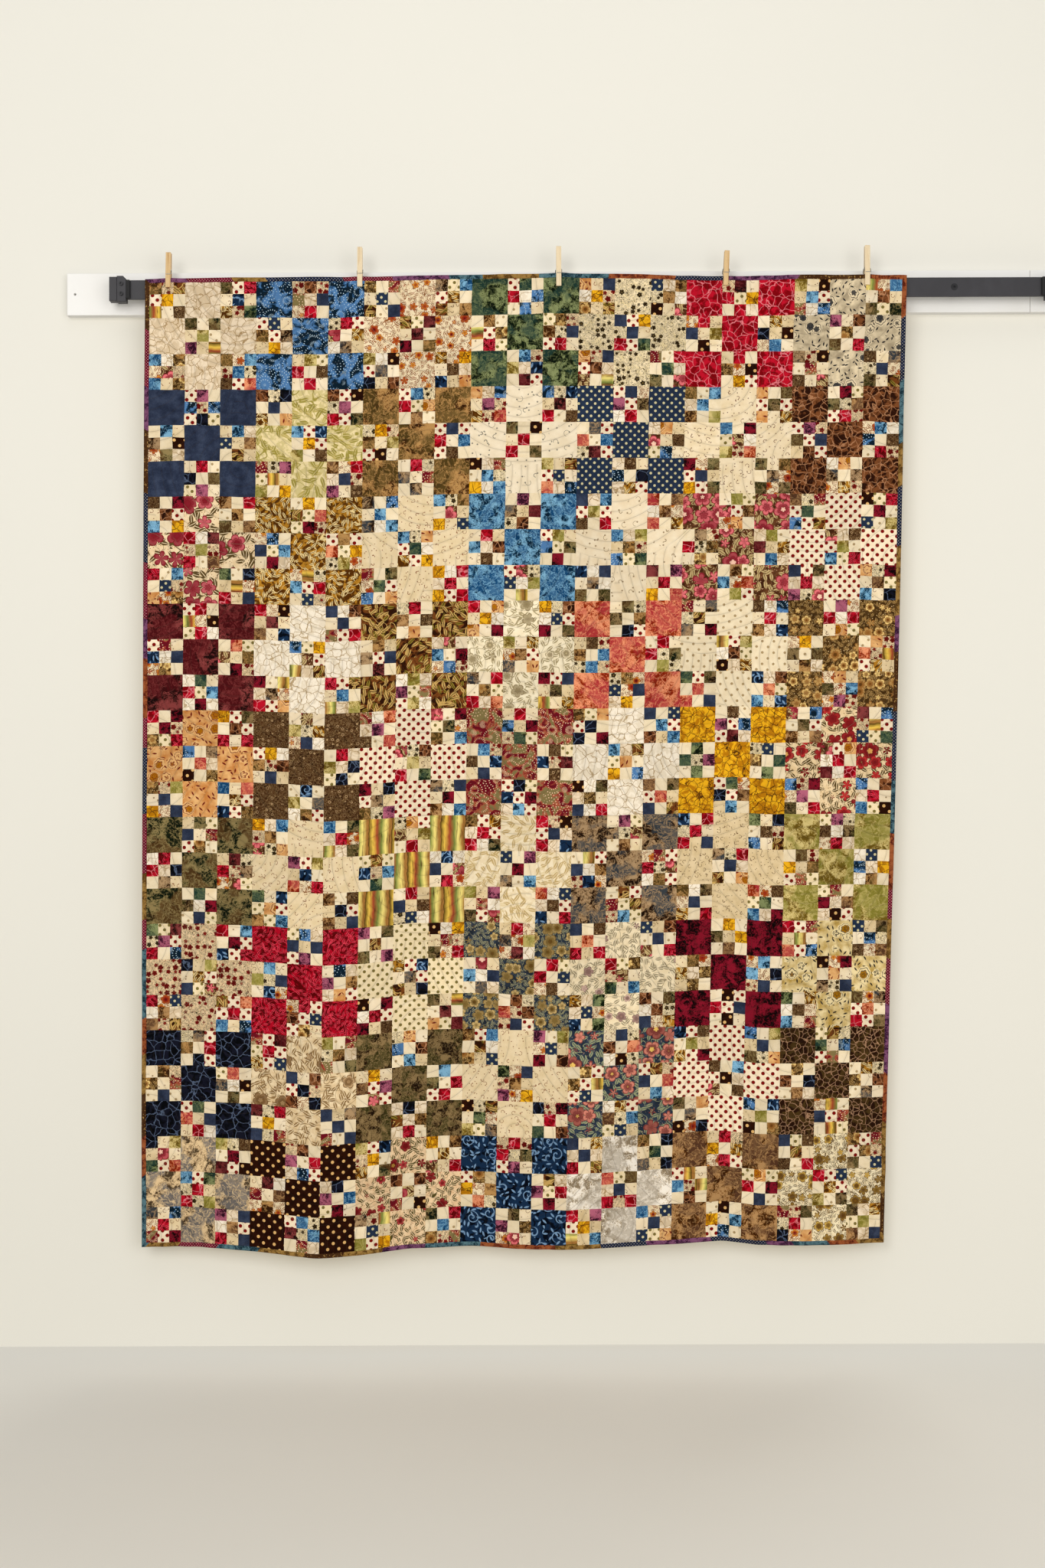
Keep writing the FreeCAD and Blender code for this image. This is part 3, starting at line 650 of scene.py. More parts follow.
def plain(recipe, place, dark, middle, light, size=0.02):
    """A dyed cloth with hardly any pattern."""
    marks = recipe.noise(place, 420.0, 2.0, 2.0)
    value = recipe.math("ADD", recipe.math("MULTIPLY", recipe.noise(place, 1 / size, 4.0), 0.6),
                        recipe.math("MULTIPLY", marks, 0.4))
    return recipe.three_tones(value, dark, middle, light, 0.12)


def stripes(recipe, place, *colours, size=0.05):
    """Uneven painted stripes down the cloth."""
    across = recipe.node("SeparateXYZ", i0=wandering(recipe, place, 30.0, 0.012)).outputs[0]
    share = recipe.math("FRACT", recipe.math("DIVIDE", across, size))
    ramp = recipe.node("ValToRGB", i0=share)
    points = ramp.color_ramp.elements
    for _ in range(len(colours) - 2):
        points.new(0.5)
    for number, colour in enumerate(colours):
        points[number].position = number / (len(colours) - 0.5)
        points[number].color = linear(colour)
    streak = recipe.noise(recipe.vector("MULTIPLY", place, (1.0, 0.12, 1.0)), 220.0)
    return recipe.mix(recipe.ramp(streak, 0.55, 0.75), ramp.outputs[0], colours[0])


print("kinds so far: crackle, batik, dots, plain, stripes")


def vine_mask(recipe, place, size, width=0.012):
    contour = recipe.noise(place, 0.7 / size, 1.0, 1.0)
    return recipe.ramp(recipe.math("ABSOLUTE", recipe.math("SUBTRACT", contour, 0.5)), width, width * 0.4)


def flowers(recipe, place, ground, shade, petal, deep, heart, leaf, size=0.03, bloom=0.4, specks=None):
    """Outlined flowers with leaves, thin vines and specks between them."""
    cloud = recipe.ramp(recipe.noise(place, 60.0), 0.4, 0.6)
    colour = recipe.mix(cloud, shade, ground)
    if specks:
        spot = recipe.cells(place, 230.0, "F1", 0.8).outputs["Distance"]
        colour = recipe.mix(recipe.ramp(spot, 0.3, 0.2), colour, specks)
    colour = recipe.mix(vine_mask(recipe, place, size), colour, leaf)
    for shift in (0.37 * size, 0.81 * size):
        blade, vein = leaf_mask(recipe, place, size * 0.6, size * 0.25, size * 0.1, shift)
        colour = recipe.mix(vein, recipe.mix(blade, colour, leaf), ground)
    _, _, distance, angle, luck = mark_frame(recipe, place, size, 0.55)
    lobe = recipe.math("ABSOLUTE", recipe.math("COSINE", recipe.math("MULTIPLY", angle, 2.5)))
    lobe = recipe.math("POWER", lobe, 0.55)
    fullness = recipe.math("ADD", recipe.math("MULTIPLY", luck, 0.4), 0.72)
    reach = recipe.math("MULTIPLY", fullness, size * bloom)
    rim = recipe.math("MULTIPLY", recipe.math("ADD", recipe.math("MULTIPLY", lobe, 0.38), 0.66), reach)
    petals = recipe.ramp(recipe.math("SUBTRACT", distance, rim), INK_EDGE, -INK_EDGE)
    share = recipe.math("DIVIDE", distance, rim)
    dark_one = recipe.math("MULTIPLY", recipe.ramp(luck, 0.55, 0.75), 0.65)
    tone = recipe.mix(recipe.ramp(share, 0.35, 0.75), deep, recipe.mix(dark_one, petal, deep))
    lines = recipe.math("MAXIMUM", recipe.ramp(share, 0.86, 0.92), recipe.ramp(lobe, 0.5, 0.35))
    inner = recipe.ramp(recipe.math("ABSOLUTE", recipe.math("SUBTRACT", share, 0.56)), 0.05, 0.02)
    tone = recipe.mix(recipe.math("MULTIPLY", recipe.math("MAXIMUM", lines, inner), 0.85), tone, deep)
    colour = recipe.mix(petals, colour, tone)
    return recipe.mix(recipe.ramp(share, 0.34, 0.27), colour, heart)


def sprigs(recipe, place, ground, shade, mark, size=0.016, reach=0.24):
    """Little hooked twigs, each ending in a bud."""
    cloud = recipe.ramp(recipe.noise(place, 45.0), 0.35, 0.65)
    across, down, distance, angle, _ = mark_frame(recipe, place, size, 0.75)
    ring = recipe.math("ABSOLUTE", recipe.math("SUBTRACT", distance, size * reach))
    hook = recipe.math("MULTIPLY", recipe.ramp(ring, 0.0006, 0.0002), recipe.math("LESS_THAN", angle, 0.9))
    bud_across = recipe.math("SUBTRACT", across, size * reach * 0.6)
    bud_down = recipe.math("SUBTRACT", down, size * reach * 0.8)
    from_bud = recipe.node("CombineXYZ", i0=bud_across, i1=bud_down).outputs[0]
    bud = recipe.vector("LENGTH", from_bud, result=1)
    marks = recipe.math("MAXIMUM", hook, recipe.ramp(bud, size * 0.1, size * 0.06))
    return recipe.mix(marks, recipe.mix(cloud, shade, ground), mark)


def leaves(recipe, place, ground, shade, leaf, vein, size=0.022):
    """Sprays of narrow leaves, three deep, over a cloudy ground."""
    cloud = recipe.ramp(recipe.noise(place, 60.0, 4.0, 1.2), 0.46, 0.54)
    colour = recipe.mix(cloud, shade, ground)
    bent = wandering(recipe, place, 40.0, 0.008)
    for shift, tint in ((0.0, vein), (0.3 * size, leaf), (0.7 * size, leaf)):
        blade, line = leaf_mask(recipe, bent, size * 0.72, size * 0.33, size * 0.1, shift)
        colour = recipe.mix(line, recipe.mix(blade, colour, tint), shade)
    stem = recipe.noise(bent, 0.6 / size, 1.0, 1.0)
    stems = recipe.ramp(recipe.math("ABSOLUTE", recipe.math("SUBTRACT", stem, 0.5)), 0.012, 0.005)
    return recipe.mix(stems, colour, leaf)


def paisley(recipe, place, ground, shade, line, fill, size=0.036):
    """Curled drops drawn as rings inside rings, with a filled heart."""
    along, _, distance, angle, _ = mark_frame(recipe, place, size, 0.8)
    drop = recipe.math("ADD", distance, recipe.math("MULTIPLY", along, 0.45))
    drop = recipe.math("DIVIDE", drop, size)
    petal = recipe.math("MULTIPLY", recipe.math("COSINE", recipe.math("MULTIPLY", angle, 9.0)), 0.018)
    drop = recipe.math("ADD", drop, petal)
    inside = recipe.ramp(drop, 0.40, 0.385)
    rings = recipe.ramp(recipe.math("SINE", recipe.math("MULTIPLY", drop, 62.0)), 0.45, 0.75)
    cloud = recipe.ramp(recipe.noise(place, 45.0), 0.35, 0.65)
    colour = recipe.mix(cloud, shade, ground)
    filled = recipe.mix(recipe.ramp(drop, 0.26, 0.2), ground, fill)
    colour = recipe.mix(inside, colour, recipe.mix(recipe.math("MULTIPLY", rings, 0.85), filled, line))
    blade, vein = leaf_mask(recipe, place, size * 0.5, size * 0.16, size * 0.05, 0.5 * size)
    outside = recipe.math("SUBTRACT", 1.0, inside)
    return recipe.mix(recipe.math("MULTIPLY", blade, outside), colour, line)


RING_PITCH = 0.0062
COIL_PITCH = 0.0085


def swirls(recipe, place, dark, middle, second, dot, size=0.034):
    """Rings of small dots that circle over a dyed ground."""
    _, _, distance, angle, _ = mark_frame(recipe, place, size, 0.8)
    cloud = recipe.noise(wandering(recipe, place, 40.0, 0.012), 38.0, 4.0, 1.0)
    colour = recipe.three_tones(cloud, dark, middle, second, 0.05)
    rings = recipe.math("SINE", recipe.math("MULTIPLY", distance, math.tau / RING_PITCH))
    ring_number = recipe.math("FLOOR", recipe.math("ADD", recipe.math("DIVIDE", distance, RING_PITCH), 0.25))
    count = recipe.math("MULTIPLY", recipe.math("ADD", ring_number, 0.5), 6.0)
    beads = recipe.math("SINE", recipe.math("MULTIPLY", angle, count))
    beaded = recipe.ramp(recipe.math("MULTIPLY", rings, recipe.math("MAXIMUM", beads, 0.0)), 0.35, 0.6)
    open_part = recipe.math("MULTIPLY", recipe.ramp(recipe.noise(place, 34.0), 0.36, 0.46),
                            recipe.ramp(distance, RING_PITCH * 0.8, RING_PITCH))
    return recipe.mix(recipe.math("MULTIPLY", beaded, open_part), colour, dot)


def scrolls(recipe, place, dark, middle, line, size=0.034):
    """Curling tendrils that wind in to a middle."""
    _, _, distance, angle, _ = mark_frame(recipe, place, size, 0.8)
    turned = recipe.math("DIVIDE", angle, math.tau)
    coil = recipe.math("ADD", recipe.math("DIVIDE", distance, COIL_PITCH), turned)
    away = recipe.math("ABSOLUTE", recipe.math("SUBTRACT", recipe.math("FRACT", coil), 0.5))
    tendril = recipe.math("MULTIPLY", recipe.ramp(away, 0.14, 0.08),
                          recipe.ramp(distance, size * 0.45, size * 0.4))
    colour = recipe.three_tones(recipe.noise(place, 60.0, 4.0, 1.0), dark, middle, middle, 0.06)
    blade, _ = leaf_mask(recipe, place, size * 0.5, size * 0.18, size * 0.06, 0.4 * size)
    return recipe.mix(recipe.math("MAXIMUM", tendril, blade), colour, line)


print("kinds with drawn marks: flowers, sprigs, leaves, paisley, swirls, scrolls")

# %% [markdown]
# ## The cloth itself
#
# All the prints share one cloth: plain woven quilting cotton, dull and slightly fuzzy, washed so that it
# puckers beside the stitching.  The weave is a fine pair of crossed waves in the bump, and the hollow
# beside the thread is both a bump and a slight painted shade that darkens the colour there.  Every
# patch is a touch lighter or darker than its neighbours, which is read from a number kept on its faces.

# %% Finish for every cotton
WEAVE = 0.00042
DEPTH_OF_DYE = 1.1


def cotton(name, colour_of, thread, thread_strength):
    """A woven cotton from a print, with its stitching, its puckers, its weave and painted shade in the
    hollows.
    """
    recipe = Recipe(name, roughness=0.92, sheen=0.01, specular=0.07)
    place = recipe.node("UVMap", {"uv_map": "cloth"}).outputs[0]
    colour = colour_of(recipe, place)
    tone = recipe.node("Attribute", {"attribute_name": "tone"}).outputs["Fac"]
    quilting = recipe.tree.nodes.new("ShaderNodeGroup")
    quilting.node_tree = QUILTING
    # painted shade: the colour is darkened by a tenth in the hollow beside the stitching, on top of the
    # patch's own tone
    tone_and_painted_shade = recipe.math("ADD", tone, recipe.math("MULTIPLY", quilting.outputs["hollow"], -0.1))
    toned_colour_with_painted_shade = recipe.scaled(colour, recipe.math("ADD", 1.0, tone_and_painted_shade))
    drawn = recipe.mix(recipe.math("MULTIPLY", quilting.outputs["thread"], thread_strength), toned_colour_with_painted_shade, thread)
    deepened = recipe.node("Gamma", i0=drawn, i1=DEPTH_OF_DYE)
    recipe.feed(recipe.shader.inputs["Base Color"], deepened.outputs[0])
    crossed = recipe.node("SeparateXYZ", i0=recipe.scaled(place, math.tau / WEAVE))
    weave = recipe.math("MULTIPLY", recipe.math("SINE", crossed.outputs[0]),
                        recipe.math("SINE", crossed.outputs[1]))
    fuzz = recipe.noise(place, 700.0, 2.0)
    height = recipe.math("ADD", recipe.math("MULTIPLY", weave, 0.12), recipe.math("MULTIPLY", fuzz, 0.3))
    height = recipe.math("SUBTRACT", height, recipe.math("MULTIPLY", quilting.outputs["hollow"], 0.9))
    bump = recipe.node("Bump", Strength=0.55, Distance=0.0009, Height=height)
    recipe.feed(recipe.shader.inputs["Normal"], bump.outputs[0])
    return recipe.material


def print_of(kind, *colours, **sizes):
    """A print waiting for its cloth."""
    return lambda recipe, place: kind(recipe, place, *colours, **sizes)


print("weave, threads per centimetre:", round(0.01 / WEAVE))

# %% Pale prints
CREAM, SHADE = "#f4e2c0", "#ecd7b1"
PALE_PRINTS = {
    "cream": print_of(plain, "#ecd9b4", CREAM, "#f8e8ca"),
    "cream_crackle": print_of(crackle, "#f3e0c4", "#dfc9a8", "#b1946a"),
    "ivory_crackle": print_of(crackle, "#fcf0dc", "#eee0c8", "#bba27c"),
    "orange_flowers": print_of(flowers, CREAM, SHADE, "#da963c", "#982418", "#6c1c10", "#98643a",
                               size=0.0235, bloom=0.42, specks="#a85a3c"),
    "moss_sprigs": print_of(flowers, "#f6e3bd", "#e8d4a6", "#46351a", "#2e210c", "#7c683a", "#3e3214",
                            size=0.0125, bloom=0.4, specks="#6b5630"),
    "grey_paisley": print_of(paisley, "#e8d6b4", "#b0a084", "#1e1e28", "#4a4846", size=0.03),
    "leaf_green_cream": print_of(leaves, "#f3e0ae", "#dccb92", "#a89a4c", "#c9b56c", size=0.042),
    "twig_cream": print_of(sprigs, "#faebd0", "#f0dfc0", "#8c8677", size=0.021, reach=0.3),
    "tiny_sprigs": print_of(sprigs, "#f6e4c4", "#ecd7b0", "#7c5440", size=0.0145, reach=0.28),
    "rose_bouquet": print_of(flowers, "#f3dcb6", "#ead0a6", "#cf6a70", "#86202a", "#8c2430", "#64502c",
                             size=0.046, bloom=0.46, specks="#a9835c"),
    "hook_sprigs": print_of(sprigs, "#f2deba", "#e8d2a8", "#94603f", size=0.0135, reach=0.28),
    "faint_sprigs": print_of(sprigs, "#f8e8cb", "#f0dcba", "#a48d6c", size=0.022),
    "red_dot_cream": print_of(dots, "#fdecd0", "#f5e0bf", "#86120e", radius=0.0039),
    "toile_grey": print_of(flowers, "#fdf0d2", "#f4e4c2", "#ead9b6", "#94835f", "#c4b28a", "#b2a27c",
                           size=0.036),
    "tan_dot_cream": print_of(dots, "#faeaca", "#f2dfbc", "#b59c72", spacing=0.024, radius=0.0028),
    "peach_paisley": print_of(paisley, "#ecbc80", "#cc8848", "#7a2018", "#b47410", size=0.034),
    "red_vines": print_of(flowers, "#f1d8af", "#e9cda0", "#c23a38", "#7a1a1e", "#dca860", "#5d4a24",
                          size=0.034, bloom=0.52, specks="#a07c50"),
    "tan_leaf_cream": print_of(leaves, "#faeaca", "#f3e0bc", "#cdb27c", "#ecd8ac", size=0.036),
    "grain_cream": print_of(sprigs, "#ecd6ae", "#dcc498", "#785c3c", size=0.0115, reach=0.3),
    "berry_vines": print_of(flowers, "#eed4ac", "#e2c69c", "#94201a", "#5c120e", "#74180f", "#32341a",
                            size=0.0135, bloom=0.44, specks="#8c4434"),
    "moss_dot_cream": print_of(dots, "#fae8c2", "#f2ddb2", "#857640", spacing=0.0195, radius=0.0033),
    "mauve_vines": print_of(flowers, "#fbeac8", "#f2deb8", "#dcbcac", "#8a6a62", "#a88478", "#a89a7c",
                            size=0.034, bloom=0.3),
    "gold_paisley": print_of(paisley, "#f2deac", "#c2a258", "#38342e", "#a87408", size=0.032),
    "toile_tan": print_of(flowers, "#f4dfba", "#e4c99e", "#c6a67c", "#7c5c38", "#a88860", "#9c7e54",
                          size=0.038),
    "stone_batik": print_of(batik, "#544430", "#b0906a", "#e8cca0", "#7c7876"),
    "pink_vines": print_of(flowers, "#f3d6ae", "#e9c79d", "#bc4a4a", "#6c1012", "#a8803c", "#5c5228",
                           size=0.03, specks="#b88a60"),
    "pale_marble": print_of(batik, "#96856c", "#dccbb0", "#fdf4e6", "#c4b9a8", size=0.034, strokes=0.5),
    "medallions": print_of(flowers, "#fff0cc", "#f5e1b8", "#d8b25a", "#64421a", "#7c5820", "#847050",
                           size=0.0235, bloom=0.5, specks="#6b5838"),
}
PALE_THREAD = "#8a7a66"
prints_made = {name: cotton(name, kind, PALE_THREAD, 0.55) for name, kind in PALE_PRINTS.items()}
print("pale cottons:", len(prints_made))

# %% Dark and bright prints
DEEP_PRINTS = {
    "blue_swirls": print_of(swirls, "#0c2433", "#2f5478", "#5b86b4", "#b9cfdc"),
    "green_batik": print_of(batik, "#0a1808", "#444e2a", "#8e9668", "#28443c", strokes=0.4),
    "red_crackle": print_of(crackle, "#c41630", "#86000e", "#e8868c"),
    "navy": print_of(plain, "#272f42", "#363f55", "#465066"),
    "olive_batik": print_of(batik, "#3a1f06", "#84562a", "#c0965e", "#5c4a22"),
    "navy_dots": print_of(dots, "#303e56", "#28364c", "#d8cea4", spacing=0.0172, radius=0.0027),
    "umber_crackle": print_of(crackle, "#85522f", "#341606", "#bb8862", size=0.016, width=0.03),
    "gold_leaves": print_of(leaves, "#b8842c", "#5c3404", "#f0d79c", "#6b4410", size=0.026),
    "sky_batik": print_of(batik, "#04283e", "#366c90", "#8cbcd8", "#1e5684", size=0.02),
    "rose_brown": print_of(flowers, "#744a2c", "#4a2812", "#f08084", "#8c1e2c", "#ffd0b8", "#ccb480",
                           size=0.038, bloom=0.56, specks="#dcb48c"),
    "maroon_batik": print_of(batik, "#1e0806", "#481a16", "#904644", "#5c141a", strokes=0.5),
    "oak_leaves": print_of(leaves, "#7e4a20", "#361804", "#d0ac68", "#948034", size=0.034),
    "coral_batik": print_of(batik, "#8c2608", "#c45c32", "#eea078", "#b84044"),
    "daisy_brown": print_of(flowers, "#59401f", "#48300f", "#f0d088", "#94602a", "#6b4519", "#b08e58",
                            size=0.0235, bloom=0.52, specks="#dcbc88"),
    "calico_brown": print_of(flowers, "#54361c", "#3a200a", "#ccac80", "#4a2c14", "#5c3c1c", "#9c8058",
                             size=0.0105, bloom=0.36, specks="#a08660"),
    "rust_swirls": print_of(swirls, "#761424", "#b45c44", "#8c7c50", "#fad4b0", size=0.034),
    "gold_crackle": print_of(crackle, "#f2b824", "#c08210", "#5a360c", size=0.015, width=0.03),
    "forest_batik": print_of(batik, "#0e1a0a", "#464828", "#98865a", "#5e4222"),
    "sunset_stripes": print_of(stripes, "#4c3010", "#f2cc5c", "#ac4c34", "#849048", "#fbe88c", "#ac7c40"),
    "slate_leaves": print_of(batik, "#201002", "#6e4a2a", "#b89a74", "#464e54"),
    "olive_mottle": print_of(batik, "#735c1c", "#b09850", "#dcc888", "#908a3c", size=0.032, strokes=0.4),
    "crimson_leaves": print_of(leaves, "#b80c2a", "#620004", "#e04458", "#780414", size=0.022),
    "daisy_slate": print_of(flowers, "#3e4854", "#28303a", "#ccb078", "#7c6434", "#6c5024", "#989474",
                            size=0.0245, bloom=0.54, specks="#c4b488"),
    "burgundy_batik": print_of(batik, "#100002", "#440812", "#901a30", size=0.022),
    "midnight_crackle": print_of(crackle, "#191b2b", "#04060c", "#5e6c84", size=0.021),
    "khaki_speckle": print_of(batik, "#241404", "#584020", "#988058", "#44401c", size=0.018),
    "indigo_bouquet": print_of(flowers, "#3c4858", "#2c3644", "#de907c", "#803c38", "#f4cc70", "#a0a480",
                               size=0.036, bloom=0.54, specks="#a8907c"),
    "bark_crackle": print_of(crackle, "#503c1c", "#2e1606", "#b08a6c", size=0.013, width=0.035),
    "brown_dots": print_of(dots, "#361504", "#240a00", "#e8bc7c", spacing=0.0235, radius=0.0033),
    "indigo_scrolls": print_of(scrolls, "#020c1c", "#1a3452", "#80a0c0"),
    "cocoa_batik": print_of(batik, "#442404", "#805020", "#bc9464", "#644430"),
    "plum_batik": print_of(batik, "#3a1428", "#7a3450", "#b86a80"),
}
DEEP_THREAD = "#4a3f35"
prints_made.update({name: cotton(name, kind, DEEP_THREAD, 0.35) for name, kind in DEEP_PRINTS.items()})
missing = {name for row in prints for name in row} - set(prints_made)
print("cottons:", len(prints_made), "missing:", missing)

# %% [markdown]
# ## The pieced top
#
# Nearly three thousand patches would be slow to make and to move one by one, and one mesh for the whole top
# would be too heavy.  So the top is made as twenty panels of two by two blocks.  Each small square is
# six faces across, with narrow faces along its seams so that the cloth can dip into them, and every face
# takes the cotton of its patch.  Hand sewing isn't exact, so the corners where seams meet stray a little.

# %% Lines across and down the top
SQUARE_ACROSS = (QUILT_WIDTH - 2 * BINDING_WIDTH) / SQUARE_COLUMNS
SQUARE_DOWN = (QUILT_LENGTH - 2 * BINDING_WIDTH) / SQUARE_ROWS
FACE_STEPS = (0.0, 0.07, 0.3, 0.5, 0.7, 0.93)
STEPS = len(FACE_STEPS)
STRAY = 0.7 * MM
SEAM_DIP = 0.5 * MM
SEAM_WIDTH = 1.6 * MM
STITCH_DIP = 0.45 * MM
PUFF = 0.35 * MM
TUCK_UNDER = 5 * MM
chance = np.random.default_rng(5)
stray_across = chance.uniform(-STRAY, STRAY, (SQUARE_ROWS + 1, SQUARE_COLUMNS + 1))
stray_down = chance.uniform(-STRAY, STRAY, (SQUARE_ROWS + 1, SQUARE_COLUMNS + 1))


def between_corners(corners, row, column):
    """A value between the seam corners, for places counted in small squares."""
    top = np.clip(np.floor(row), 0, SQUARE_ROWS - 1).astype(int)
    left = np.clip(np.floor(column), 0, SQUARE_COLUMNS - 1).astype(int)
    down, across = np.clip(row - top, 0, 1), np.clip(column - left, 0, 1)
    upper = corners[top, left] * (1 - across) + corners[top, left + 1] * across
    lower = corners[top + 1, left] * (1 - across) + corners[top + 1, left + 1] * across
    return upper * (1 - down) + lower * down


def lines(first, last, whole):
    """Face lines from one small square to another, tucked under the binding at the quilt's edges."""
    places = [number + step for number in range(first, last) for step in FACE_STEPS] + [last]
    places = np.array(places, float)
    if first == 0:
        places[0] -= TUCK_UNDER / SQUARE_ACROSS
    if last == whole:
        places[-1] += TUCK_UNDER / SQUARE_ACROSS
    return places


def seam_dip(row, column):
    """How far each place dips, from how near it is to a seam of its own unit."""
    nine = (np.floor(row / 3) + np.floor(column / 3)) % 2 == 0

    def to_seam(squares):
        down = np.abs(row / squares - np.round(row / squares)) * SQUARE_DOWN
        across = np.abs(column / squares - np.round(column / squares)) * SQUARE_ACROSS
        return np.minimum(down, across) * squares

    away = np.where(nine, to_seam(1), to_seam(3))
    return np.exp(-((away / SEAM_WIDTH) ** 2))


print("small square, mm:", round(SQUARE_ACROSS / MM, 2), "by", round(SQUARE_DOWN / MM, 2))


# %% How the cloth rises and falls between seams and stitches
def relief(across, down, row=None, column=None):
    """Height of the quilted cloth over its own middle: hollows at the stitching and puffs between."""
    swell = np.sin(across * 71 + 3 * np.sin(down * 23)) * np.sin(down * 64 + 2 * np.sin(across * 31))
    height = PUFF * swell - STITCH_DIP * stitch_hollow(across, down)
    if row is not None:
        height = height - SEAM_DIP * seam_dip(row, column)
    return height


def corner_points(mesh):
    """Which point each face corner stands on, in the order that a map is written."""
    corner = np.empty(len(mesh.loops), np.int32)
    mesh.loops.foreach_get("vertex_index", corner)
    return corner


def add_map(mesh, name, across, down):
    """Write one map, from metres across and down at every face corner."""
    layer = mesh.uv_layers.new(name=name)
    layer.data.foreach_set("uv", np.stack([across, down], axis=-1).astype(np.float32).ravel())


def finish_cloth(item):
    """What every cloth piece of the quilt needs: smooth shading, and its place baked into its points."""
    for polygon in item.data.polygons:
        polygon.use_smooth = True
    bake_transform(item)


patch_of = {}


def patch_facts(row, column):
    """Offset, quarter turns and tone of the patch that a small square belongs to."""
    unit = (row // 3, column // 3)
    key = (row, column) if is_nine_patch(*unit) else unit
    if key not in patch_of:
        turns = random.choice((0, 0, 1, 2, 3))
        patch_of[key] = (random.uniform(0, 3), random.uniform(0, 3), turns, random.uniform(-0.1, 0.07))
    return patch_of[key]


def top_panel(name, first_row, last_row, first_column, last_column):
    """One panel of the pieced top, from one small square to another."""
    row, column = np.meshgrid(lines(first_row, last_row, SQUARE_ROWS),
                              lines(first_column, last_column, SQUARE_COLUMNS), indexing="ij")
    across = BINDING_WIDTH + column * SQUARE_ACROSS + between_corners(stray_across, row, column)
    down = BINDING_WIDTH + row * SQUARE_DOWN + between_corners(stray_down, row, column)
    panel = grid_mesh(name, on_quilt(across, down, HALF_LAYERS + relief(across, down, row, column)))
    mesh = panel.data
    face_rows, face_columns = row.shape[0] - 1, row.shape[1] - 1
    square_row = first_row + np.repeat(np.arange(face_rows) // STEPS, face_columns)
    square_column = first_column + np.tile(np.arange(face_columns) // STEPS, face_rows)
    used = sorted({name for line in prints[first_row:last_row] for name in line[first_column:last_column]})
    for print_name in used:
        mesh.materials.append(prints_made[print_name])
    slots = {print_name: number for number, print_name in enumerate(used)}
    facts = [patch_facts(r, c) for r, c in zip(square_row, square_column)]
    worn = [slots[prints[r][c]] for r, c in zip(square_row, square_column)]
    mesh.polygons.foreach_set("material_index", worn)
    shift_across, shift_down, turns, tone = (np.array(part) for part in zip(*facts))
    mesh.attributes.new("tone", "FLOAT", "FACE").data.foreach_set("value", tone.astype(np.float32))
    corner = corner_points(mesh)
    flat_across, flat_down = across.ravel()[corner], down.ravel()[corner]
    add_map(mesh, "quilting", flat_across, flat_down)
    shift_across, shift_down, turns = (np.repeat(part, 4) for part in (shift_across, shift_down, turns))
    cosine, sine = np.round(np.cos(turns * math.pi / 2)), np.round(np.sin(turns * math.pi / 2))
    add_map(mesh, "cloth", flat_across * cosine - flat_down * sine + shift_across,
            flat_across * sine + flat_down * cosine + shift_down)
    finish_cloth(panel)
    return panel


PANEL = 2 * BLOCK * 3
for first_row in range(0, SQUARE_ROWS, PANEL):
    for first_column in range(0, SQUARE_COLUMNS, PANEL):
        last_row = min(first_row + PANEL, SQUARE_ROWS)
        last_column = min(first_column + PANEL, SQUARE_COLUMNS)
        name = f"pieced_top_{first_row // PANEL + 1}_{first_column // PANEL + 1}"
        top_panel(name, first_row, last_row, first_column, last_column)

# %% [markdown]
# ## The backing
#
# Behind the batting is one sheet of cotton with a small sprig, which is seen only from the back.  It
# could be a thickness given to the top, but it is a cloth of its own without seams, so it is a second
# grid laid on the hung sheet.  The stitching comes through it, so it takes the same hollows as the top,
# the other way round.

# %% The backing sheet
backing_cotton = cotton("backing_cotton_print", print_of(sprigs, "#e4d2ae", "#d8c49c", "#a08a68", size=0.024),
                        PALE_THREAD, 0.6)
BACKING_INSET = 4 * MM
BACKING_ROWS = 236
BACKING_COLUMNS = 184
down_lines = np.linspace(BACKING_INSET, QUILT_LENGTH - BACKING_INSET, BACKING_ROWS)
across_lines = np.linspace(BACKING_INSET, QUILT_WIDTH - BACKING_INSET, BACKING_COLUMNS)
down, across = np.meshgrid(down_lines, across_lines, indexing="ij")
backing = grid_mesh("quilt_backing_sheet", on_quilt(across, down, -HALF_LAYERS - relief(across, down)))
corner = corner_points(backing.data)
for map_name in ("quilting", "cloth"):
    add_map(backing.data, map_name, across.ravel()[corner], down.ravel()[corner])
backing.data.materials.append(backing_cotton)
backing.data.flip_normals()
finish_cloth(backing)
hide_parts("quilt_backing", "hem_backing", "quilt_batting", "hem_batting")
print("backing faces:", len(backing.data.polygons))

# %% [markdown]
# ## The binding
#
# The raw edges are closed by a narrow folded strip, sewn to the front, brought round the edge and sewn
# down behind, and this one is pieced from scraps too.  It could be a bevelled curve, but a curve can't
# follow the sheet's own facing, so the strip's section is written as a few insets from the edge, each
# with its height, and swept round the four sides.  The mitres come by themselves, because every line of
# the section runs to the corner of its own rectangle.

# %% The folded strip round the edge
SECTION = ((9.4, 1.5), (8.9, 2.1), (6.8, 2.35), (3.5, 2.3), (1.2, 1.9), (0.1, 1.0), (-0.1, 0.0))
BINDING_STEP = 7 * MM
SCRAP_SHORTEST, SCRAP_LONGEST = 0.055, 0.16


def strip_section():
    """Insets and heights, over the front edge and back behind it."""
    front = [(inset * MM, height * MM) for inset, height in SECTION]
    return front + [(inset, -height) for inset, height in reversed(front[:-1])]


